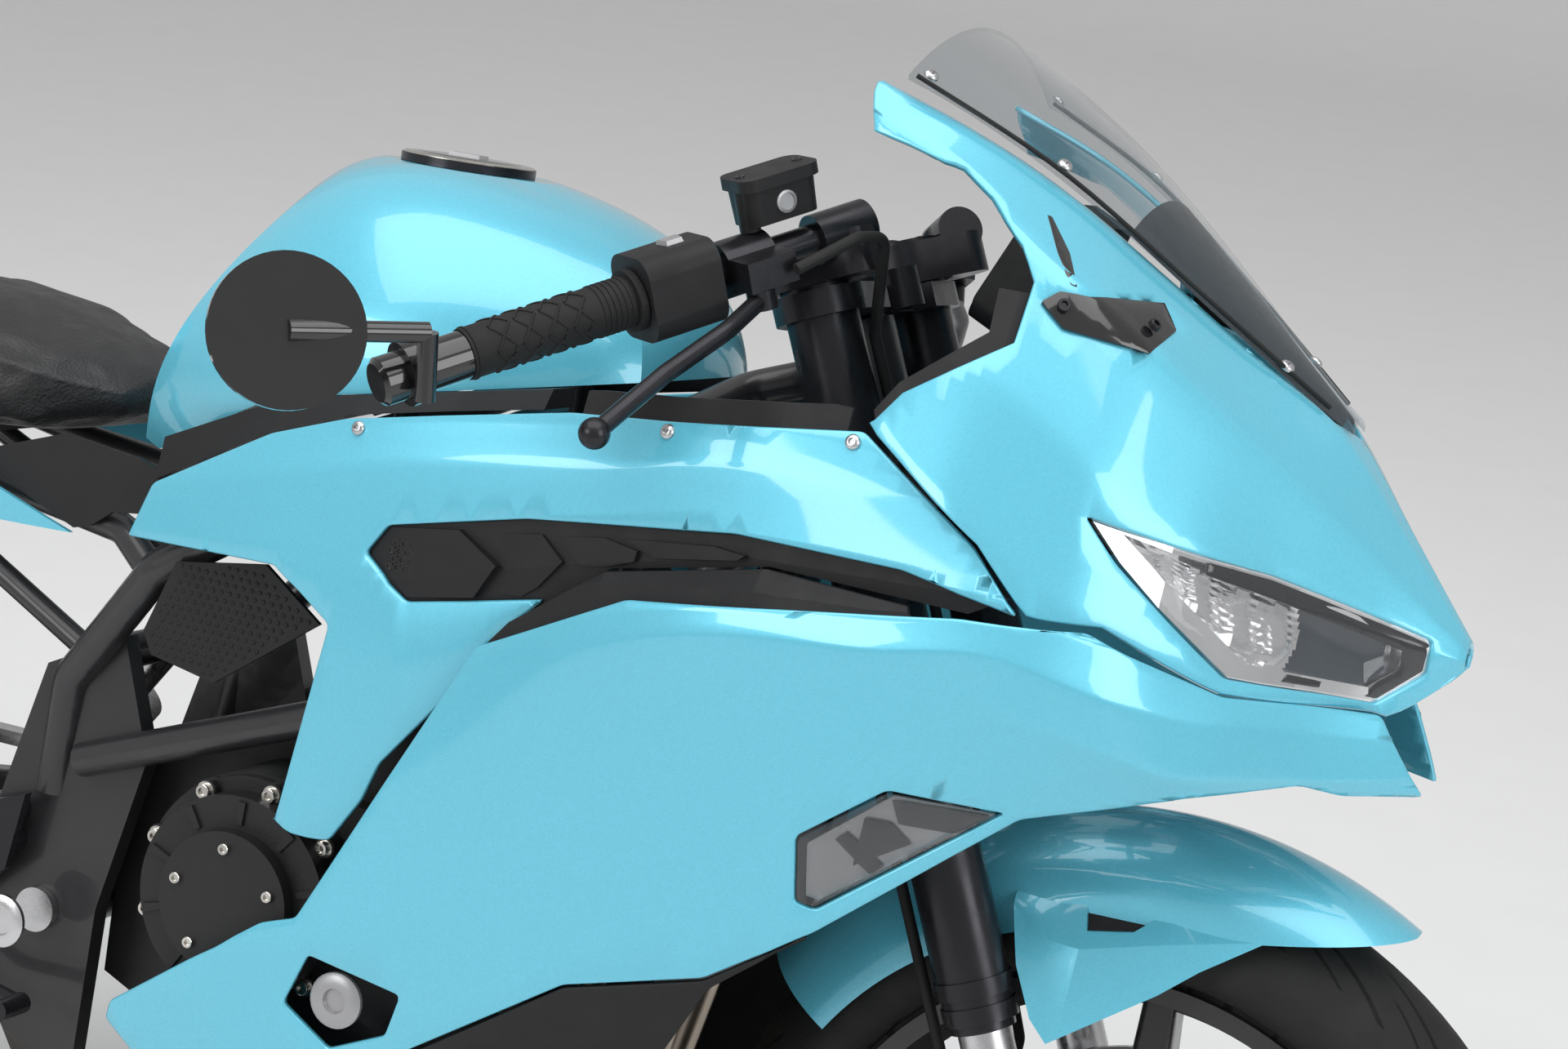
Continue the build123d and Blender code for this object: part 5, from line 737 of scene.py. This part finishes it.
def pocket_depth(x, f):
    """Depth under the lens: scalloped facets to the rear, a smooth bulge toward the tip."""
    bright = min(1.0, max(0.0, (dark_edge(f) - x) / BLEND_WIDTH))
    sweep = (x - FACET_START) / FACET_PITCH + 1.1 * (f - 0.35) ** 2 + 0.25 * math.sin(f * 5)
    facet = sweep - math.floor(sweep)
    rib = 0.35 * math.sin(f * 60) * (1 if facet > 0.5 else 0)
    return bright * (6.0 + 7.0 * facet + rib) + (1 - bright) * (7.5 + 5 * (1 - (2 * f - 1) ** 2))


def pocket_x(k):
    """Place along the pocket of column k."""
    return POCKET_FROM + (POCKET_TO - POCKET_FROM) * k / LAMP_COLUMNS


lamp_rows = []
for k in range(LAMP_COLUMNS + 1):
    x = pocket_x(k)
    low, high = span_at(POCKET, x)
    shares = [j / LAMP_LEVELS for j in range(LAMP_LEVELS + 1)]
    lamp_rows.append([skin_spot(nose_section, x, high - POCKET_MARGIN - (high - low - 2 * POCKET_MARGIN) * f,
                                -pocket_depth(x, f))[0] for f in shares])
lamp_verts, lamp_faces = grid(lamp_rows)
bright_faces, dark_faces = [], []
for number, face in enumerate(lamp_faces):
    k, j = divmod(number, LAMP_LEVELS)
    (bright_faces if pocket_x(k + 0.5) < dark_edge((j + 0.5) / LAMP_LEVELS) else dark_faces).append(face)
joined("headlight_reflectors", both_hands([(lamp_verts, bright_faces)]), "chrome", "chassis",
       sharp=25)
joined("headlight_inner_lenses", both_hands([(lamp_verts, dark_faces)]), "projector", "chassis",
       sharp=60)
skin_patch("headlight_bezels", nose_section, BEZEL, "black_gloss", -3.2, 1.2)
skin_patch("headlight_lower_bezels", nose_section, LOWER_BEZEL, "black_gloss", -3.2, 1.2)

# ---------------------------------------------------------------- front indicators behind their lenses
skin_patch("indicator_backs", lower_section, INDICATOR_BACK, "satin_silver", -6.5, 1.2)
for number, bar in enumerate(INDICATOR_BARS):
    skin_patch(f"indicator_bar_{number + 1}", lower_section, bar, "black_gloss", -4.2, 1.0)

# ---------------------------------------------------------------- engine cover, port caps and pivot rings
RIGHT = (0, -1, 0)
COVER_X, COVER_Z = 52, 445
COVER_FACE, CAP_FACE = -160, -186
RIB_LOW, RIB_HIGH = -173.9, -176.5
PORT_PROFILE = ((20, 0), (20, 3), (17, 5), (9, 5), (8, 2))
PIVOT_PROFILE = ((20, 0), (20, 3), (17, 4.5), (11, 4.5), (10, 1.5))
RIB_OUTLINE = [(56, -2.2), (73, -3.2), (73, 3.2), (56, 2.2)]
joined("port_caps", both_hands([lathed((160, -196, 405), RIGHT, PORT_PROFILE, 28)]), "satin_silver",
       "chassis")


def bolt_circle(count, offset, radius, y, profile, facets):
    """Bolts evenly round the engine cover."""
    turns = [2 * math.pi * (i + offset) / count for i in range(count)]
    spots = [(COVER_X + radius * math.cos(a), y, COVER_Z + radius * math.sin(a)) for a in turns]
    return [lathed(spot, RIGHT, profile, facets) for spot in spots]


bolts = bolt_circle(9, 0, 80, COVER_FACE, WASHER_BOLT, 18) + bolt_circle(5, 0.3, 40, CAP_FACE, SMALL_CAP, 16)
joined("cover_bolts", bolts, "zinc", "chassis")


def cover_rib(turn):
    """A raised rib that points outward on the engine cover."""
    c, s = math.cos(turn), math.sin(turn)

    def raised(y):
        return lambda p: Vector((COVER_X + p[0] * c - p[1] * s, y, COVER_Z + p[0] * s + p[1] * c))

    return prism(RIB_OUTLINE, raised(RIB_LOW), raised(RIB_HIGH))


joined("cover_ribs", [cover_rib(2 * math.pi * (i + 0.5) / 10) for i in range(10)], "engine_black", "chassis")

# ---------------------------------------------------------------- handlebar
BAR = Vector((411, -112, 988))
BAR_ALONG = Vector((-0.53947, -0.755258, -0.372234))
BAR_TOP = Vector((-0.216249, -0.302976, 0.928139))
BAR_FRONT = Vector((0.813762, -0.581198, -0.000123))
GRIP_RING = ((16.2, 0), (17.3, 0.4), (17.3, 1.6), (16.2, 2.0))
GRIP_RADIUS = 16.7
ROCKER_OUTLINE = [(-9, -7), (9, -7), (7, 7), (-7, 7)]
ROCKER_ALONG = 132


def bar_point(along, front, top):
    """A point given along the right-hand bar, ahead of it and above it."""
    return BAR + BAR_ALONG * along + BAR_FRONT * front + BAR_TOP * top


def grip_slant(start, base, slant):
    """Route of one slanted rib on the grip."""
    return [bar_point(start + 7 + slant * (f - 0.5) * 14, GRIP_RADIUS * math.cos(base + f),
                      GRIP_RADIUS * math.sin(base + f)) for f in (0, 0.17, 0.34, 0.5, 0.67, 0.84, 1.0)]


grip_ribs = [lathed(bar_point(along, 0, 0), BAR_ALONG, GRIP_RING, 32)
             for along in (174, 178, 182, 186, 190, 194, 284)]
grip_ribs += [tube(grip_slant(start, turn * math.pi / 3, slant), 0.9, 6)
              for start in (204, 222, 240, 258) for turn in range(6) for slant in (-1, 1)]
joined("grip_ribs", both_hands(grip_ribs), "rubber", "steering", sharp=60)
rocker = prism(ROCKER_OUTLINE, lambda p: bar_point(ROCKER_ALONG + p[0], p[1], 24),
               lambda p: bar_point(ROCKER_ALONG + p[0] * 0.8, p[1] * 0.7, 31))
joined("switch_rocker", [rocker], "satin_silver", "steering", sharp=20)

# ---------------------------------------------------------------- fuel cap
CAP = (66, 0, 984.2)
CAP_RING = ((49, 0), (49, 0.6), (47.5, 1.6), (40, 1.9), (38.5, 0.6))
CAP_DISC = ((37, 0), (37, 1.6), (35, 2.4), (20, 2.6))
KEY_OUTLINE = [(-14, -8), (12, -8), (15, 0), (12, 8), (-14, 8)]
joined("cap_ring", [lathed(CAP, (0, 0, 1), CAP_RING, 48)], "zinc", "chassis", sharp=40)
joined("cap_disc", [lathed(CAP, (0, 0, 1), CAP_DISC, 40)], "black_gloss", "chassis",
       sharp=40)
key_cover = prism(KEY_OUTLINE, lambda p: Vector((CAP[0] + p[0], p[1], 986.6)),
                  lambda p: Vector((CAP[0] + p[0] * 0.94, p[1] * 0.9, 989.2)))
joined("cap_key_cover", [key_cover], "satin_silver", "chassis", sharp=20)

# ---------------------------------------------------------------- pivot rings and the heel plates' domes
joined("pivot_rings", both_hands([lathed((-141, -168, 379), RIGHT, PIVOT_PROFILE, 32)]), "steel", "chassis")
DOME_FACE = -165.1
DOME_PROFILE = ((2.0, 0), (1.6, 0.7), (0.8, 1.0))
dome_spots = [(-50 + (row % 2) * 3.5 + column * 7, 600 + row * 6)
              for row in range(14) for column in range(20)]
domes = [lathed((x, DOME_FACE, z), RIGHT, DOME_PROFILE, 6) for x, z in dome_spots if inside(x, z, DOME_FIELD)]
joined("heel_plate_domes", both_hands(domes), "black_plastic", "chassis", sharp=80)

# ---------------------------------------------------------------- reservoir: lid screws and sight glasses
LID = Vector((376.886, -156.324, 990.363)) + BAR_TOP * 32
LID_SCREW = ((3.4, 0), (3.2, 0.9), (1.6, 1.0), (1.4, 0.2))
SIGHT_GLASS = ((7.5, 0), (7.5, 1.6), (5.8, 2.0), (5.4, 0.9))
lid_screws = [lathed(LID + BAR_ALONG * 22 * along, BAR_TOP, LID_SCREW, 14) for along in (-1, 1)]
joined("lid_screws", lid_screws, "black_anodised", "steering")
glass = [lathed(LID - BAR_TOP * 20 + BAR_FRONT * 15.4 * end, BAR_FRONT * end, SIGHT_GLASS, 24)
         for end in (1, -1)]
joined("sight_glasses", glass, "satin_silver", "steering")

# ---------------------------------------------------------------- seat pad: vinyl stretched over foam
# metres, and upright millimetres for the seam's place
PAD_VOXEL = 0.006
PAD_SHRINK = 0.0035
CLOTH_FRAMES = 20
CLOTH_PRESSURE = 4
MOST_SWELL = 0.005
SEAM_DEPTH = 0.0016
SEAM_WIDTH, SEAM_DROP, SEAM_FROM_MIDDLE = 2.2, 16, 55
SHOULDER_X, SHOULDER_Z, SHOULDER_SLOPE = -300, 800, 0.16


def apply_modifiers(obj):
    """Bakes an object's modifiers into its mesh."""
    graph = bpy.context.evaluated_depsgraph_get()
    baked = bpy.data.meshes.new_from_object(obj.evaluated_get(graph))
    obj.modifiers.clear()
    obj.data = baked


def shrink(mesh):
    """Evens a voxel mesh out and draws it in, which leaves room for the swelling."""
    bm = bmesh.new()
    bm.from_mesh(mesh)
    for _ in range(3):
        bmesh.ops.smooth_vert(bm, verts=bm.verts, factor=0.5,
                              use_axis_x=True, use_axis_y=True, use_axis_z=True)
    bm.normal_update()
    for vert in bm.verts:
        vert.co -= vert.normal * PAD_SHRINK
    bm.to_mesh(mesh)
    bm.free()


def swell(obj):
    """Blows an object up as cloth under pressure, no point further than the limit."""
    start = [v.co.copy() for v in obj.data.vertices]
    cloth = obj.modifiers.new("cloth", "CLOTH")
    cloth.settings.use_pressure = True
    cloth.settings.uniform_pressure_force = CLOTH_PRESSURE
    cloth.settings.effector_weights.gravity = 0
    cloth.point_cache.frame_start = 1
    cloth.point_cache.frame_end = CLOTH_FRAMES
    for number in range(1, CLOTH_FRAMES + 1):
        scene.frame_set(number)
    graph = bpy.context.evaluated_depsgraph_get()
    moved = [v.co.copy() for v in obj.evaluated_get(graph).data.vertices]
    obj.modifiers.clear()
    scene.frame_set(1)
    for vert, low, high in zip(obj.data.vertices, start, moved):
        step = high - low
        if step.length > MOST_SWELL:
            step = step.normalized() * MOST_SWELL
        vert.co = low + step


def press_seam(obj):
    """Presses in the sewn seam that runs round the pad below its shoulder."""
    to_upright = UPRIGHT.inverted()
    for vert in obj.data.vertices:
        p = to_upright @ (obj.matrix_world @ vert.co) * 1000
        shoulder = SHOULDER_Z - SHOULDER_SLOPE * (p.x - SHOULDER_X)
        fall = math.exp(-((p.z - (shoulder - SEAM_DROP)) / SEAM_WIDTH) ** 2)
        if abs(p.y) > SEAM_FROM_MIDDLE and fall > 0.05:
            vert.co -= vert.normal * SEAM_DEPTH * fall


pad = bpy.data.objects.new("seat_pad", nodes["rider_seat"].data.copy())
scene.collection.objects.link(pad)
pad.matrix_world = nodes["rider_seat"].matrix_world
remesh = pad.modifiers.new("remesh", "REMESH")
remesh.mode = "VOXEL"
remesh.voxel_size = PAD_VOXEL
apply_modifiers(pad)
shrink(pad.data)
swell(pad)
press_seam(pad)
smoother = pad.modifiers.new("surface", "SUBSURF")
smoother.levels = smoother.render_levels = 1
apply_modifiers(pad)
pad.data.shade_smooth()
pad.data.materials.clear()
pad.data.materials.append(MATERIALS["seat_vinyl"])
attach(pad, "chassis")
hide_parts("rider_seat")

# ---------------------------------------------------------------- tyre tread: grooves made by the shader, with painted shade in them
TREAD_COUNTS = {"front": 22, "rear": 20}
TREAD_SLANT = 34.0
GROOVE_SHARE, GROOVE_FROM, GROOVE_TO = 0.10, 0.010, 0.046
SHORT_SHARE, SHORT_FROM, SHORT_PHASE = 0.06, 0.028, 0.55
POSITIVE = 100.0
RUBBER_GRAIN = 0.15
# painted shade: near black mixed into the grooves' colour
GROOVE_SHADE_COLOR = (0.002, 0.002, 0.002, 1)


def tread_material(name, hinge, count):
    """Rubber with slanted grooves round the wheel's own axis, the grooves darkened by painted shade."""
    mat = material(name, (0.016, 0.016, 0.016), rough=0.72, specular=0.3)
    tree = mat.node_tree
    shader = tree.nodes["Principled BSDF"]
    coords = tree.nodes.new("ShaderNodeTexCoord").outputs["Object"]
    mapping = tree.nodes.new("ShaderNodeMapping")
    mapping.inputs["Rotation"].default_value = (LEAN, 0, 0)
    mapping.inputs["Location"].default_value = -(Matrix.Rotation(LEAN, 3, "X") @ hinge)
    tree.links.new(coords, mapping.inputs["Vector"])
    axes = tree.nodes.new("ShaderNodeSeparateXYZ")
    tree.links.new(mapping.outputs["Vector"], axes.inputs["Vector"])

    def math_node(kind, *values):
        node = tree.nodes.new("ShaderNodeMath")
        node.operation = kind
        for place, value in enumerate(values):
            if hasattr(value, "links"):
                tree.links.new(value, node.inputs[place])
            else:
                node.inputs[place].default_value = value
        return node.outputs["Value"]

    angle = math_node("ARCTAN2", axes.outputs["Z"], axes.outputs["X"])
    turns = math_node("MULTIPLY", angle, count / (2 * math.pi))
    side = math_node("ABSOLUTE", axes.outputs["Y"])
    sweep = math_node("ADD", turns, math_node("MULTIPLY", side, TREAD_SLANT))
    phase = math_node("FRACT", math_node("ADD", sweep, POSITIVE))
    width = math_node("LESS_THAN", phase, GROOVE_SHARE)
    near = math_node("GREATER_THAN", side, GROOVE_FROM)
    far = math_node("LESS_THAN", side, GROOVE_TO)
    groove = math_node("MULTIPLY", math_node("MULTIPLY", width, near), far)
    short_phase = math_node("FRACT", math_node("ADD", sweep, POSITIVE + SHORT_PHASE))
    short = math_node("MULTIPLY", math_node("LESS_THAN", short_phase, SHORT_SHARE),
                      math_node("GREATER_THAN", side, SHORT_FROM))
    cut = math_node("MAXIMUM", groove, math_node("MULTIPLY", short, far))
    fine = texture(tree, "ShaderNodeTexNoise", 500, coords)
    height = math_node("SUBTRACT", math_node("MULTIPLY", fine.outputs["Fac"], RUBBER_GRAIN), cut)
    bumped(tree, shader, height, 0.9, 0.003)
    # painted shade: the grooves' colour is mixed towards near black
    groove_shade = tree.nodes.new("ShaderNodeMix")
    groove_shade.data_type = "RGBA"
    tree.links.new(cut, groove_shade.inputs["Factor"])
    tree.links.new(shader.inputs["Base Color"].links[0].from_socket, groove_shade.inputs["A"])
    groove_shade.inputs["B"].default_value = GROOVE_SHADE_COLOR
    tree.links.new(groove_shade.outputs["Result"], shader.inputs["Base Color"])
    return mat


for end, count in TREAD_COUNTS.items():
    wear(f"{end}_tyre", tread_material(f"{end}_tread", hinges[f"{end}_wheel_spin"], count))

# ---------------------------------------------------------------- fender vents and louvre mesh
EAR_ROWS = (
    (590, (60, 570), (76, 562), (84, 552)), (625, (61, 576), (86, 545), (108, 496)),
    (645, (61, 580), (88, 545), (112, 478)), (700, (61, 582), (78, 560), (90, 524)),
    (762, (58, 580), (65, 575), (68, 568)),
)
VENT_OUTLINE = [(637, 575), (694, 576), (677, 560), (644, 553)]
skin_shell("fender_vent_insets", station_curve(EAR_ROWS), VENT_OUTLINE, [], "black_plastic", "steering",
           wall=0.6, inset=3.2, lip=0.2, radius=1.0)

CELL_FOOT = 3.25
CELL_PROFILE = ((3.0, 0), (3.0, 1.0), (2.1, 1.0), (2.0, 0.2))


def mesh_cell(row, column):
    """One hexagon of the mesh on the rearmost louvre scale."""
    x = 160 + column * 6.4 + (row % 2) * 3.2
    z = 716 + row * 5.6
    width, _ = skin_point(upper_section(x), fold_of_height(upper_section(x), z))
    return lathed((x, CELL_FOOT - width, z), RIGHT, CELL_PROFILE, 6)


cells = [mesh_cell(row, column) for row in range(4) for column in range(4)]
joined("louvre_mesh", both_hands(cells), "black_gloss", "chassis", sharp=20)

# ---------------------------------------------------------------- floor, backdrop and light
FLOOR_FRONT, FLOOR_DEPTH, WALL_HEIGHT, SWEEP = -8.0, 9.0, 7.0, 2.0
HALF_WIDTH = 14.0
FLOOR_DROP = 0.0008
WORLD_LIGHT = 0.55
scene.view_settings.view_transform = "Standard"
profile = [(FLOOR_FRONT, 0.0), (FLOOR_DEPTH - SWEEP, 0.0)]
profile += [(FLOOR_DEPTH - SWEEP + SWEEP * math.sin(a), SWEEP - SWEEP * math.cos(a))
            for a in (math.radians(step * 10) for step in range(1, 10))]
profile += [(FLOOR_DEPTH, WALL_HEIGHT)]
backdrop_mesh = bpy.data.meshes.new("backdrop")
backdrop_verts, backdrop_faces = grid([[(x, y, z) for x in (-HALF_WIDTH, HALF_WIDTH)] for y, z in profile])
backdrop_mesh.from_pydata(backdrop_verts, [], backdrop_faces)
backdrop_mesh.shade_smooth()
backdrop = bpy.data.objects.new("backdrop", backdrop_mesh)
scene.collection.objects.link(backdrop)
backdrop.matrix_world = Matrix.Translation((0, 0, -FLOOR_DROP))
backdrop_look = material("pale_backdrop", (0.78, 0.78, 0.78), rough=0.9, vary=0.01, specular=0.1)
backdrop_mesh.materials.append(backdrop_look)

world = bpy.data.worlds.new("studio")
scene.world = world
world.use_nodes = True
world.node_tree.nodes["Background"].inputs["Color"].default_value = (1, 1, 1, 1)
world.node_tree.nodes["Background"].inputs["Strength"].default_value = WORLD_LIGHT


def area_light(name, place, target, size, power):
    """A rectangular soft light aimed at a point."""
    data = bpy.data.lights.new(name, "AREA")
    data.shape = "RECTANGLE"
    data.size, data.size_y = size
    data.energy = power
    lamp = bpy.data.objects.new(name, data)
    scene.collection.objects.link(lamp)
    lamp.location = place
    lamp.rotation_euler = (Vector(target) - Vector(place)).to_track_quat("-Z", "Y").to_euler()


area_light("ceiling_light", (0.3, -0.6, 3.6), (0.1, 0, 0.5), (4.5, 3.0), 95)
area_light("side_light", (-1.8, -3.8, 2.4), (0, 0, 0.6), (2.0, 1.6), 50)
area_light("front_light", (3.6, -1.2, 1.9), (0.3, 0, 0.6), (1.4, 2.0), 35)
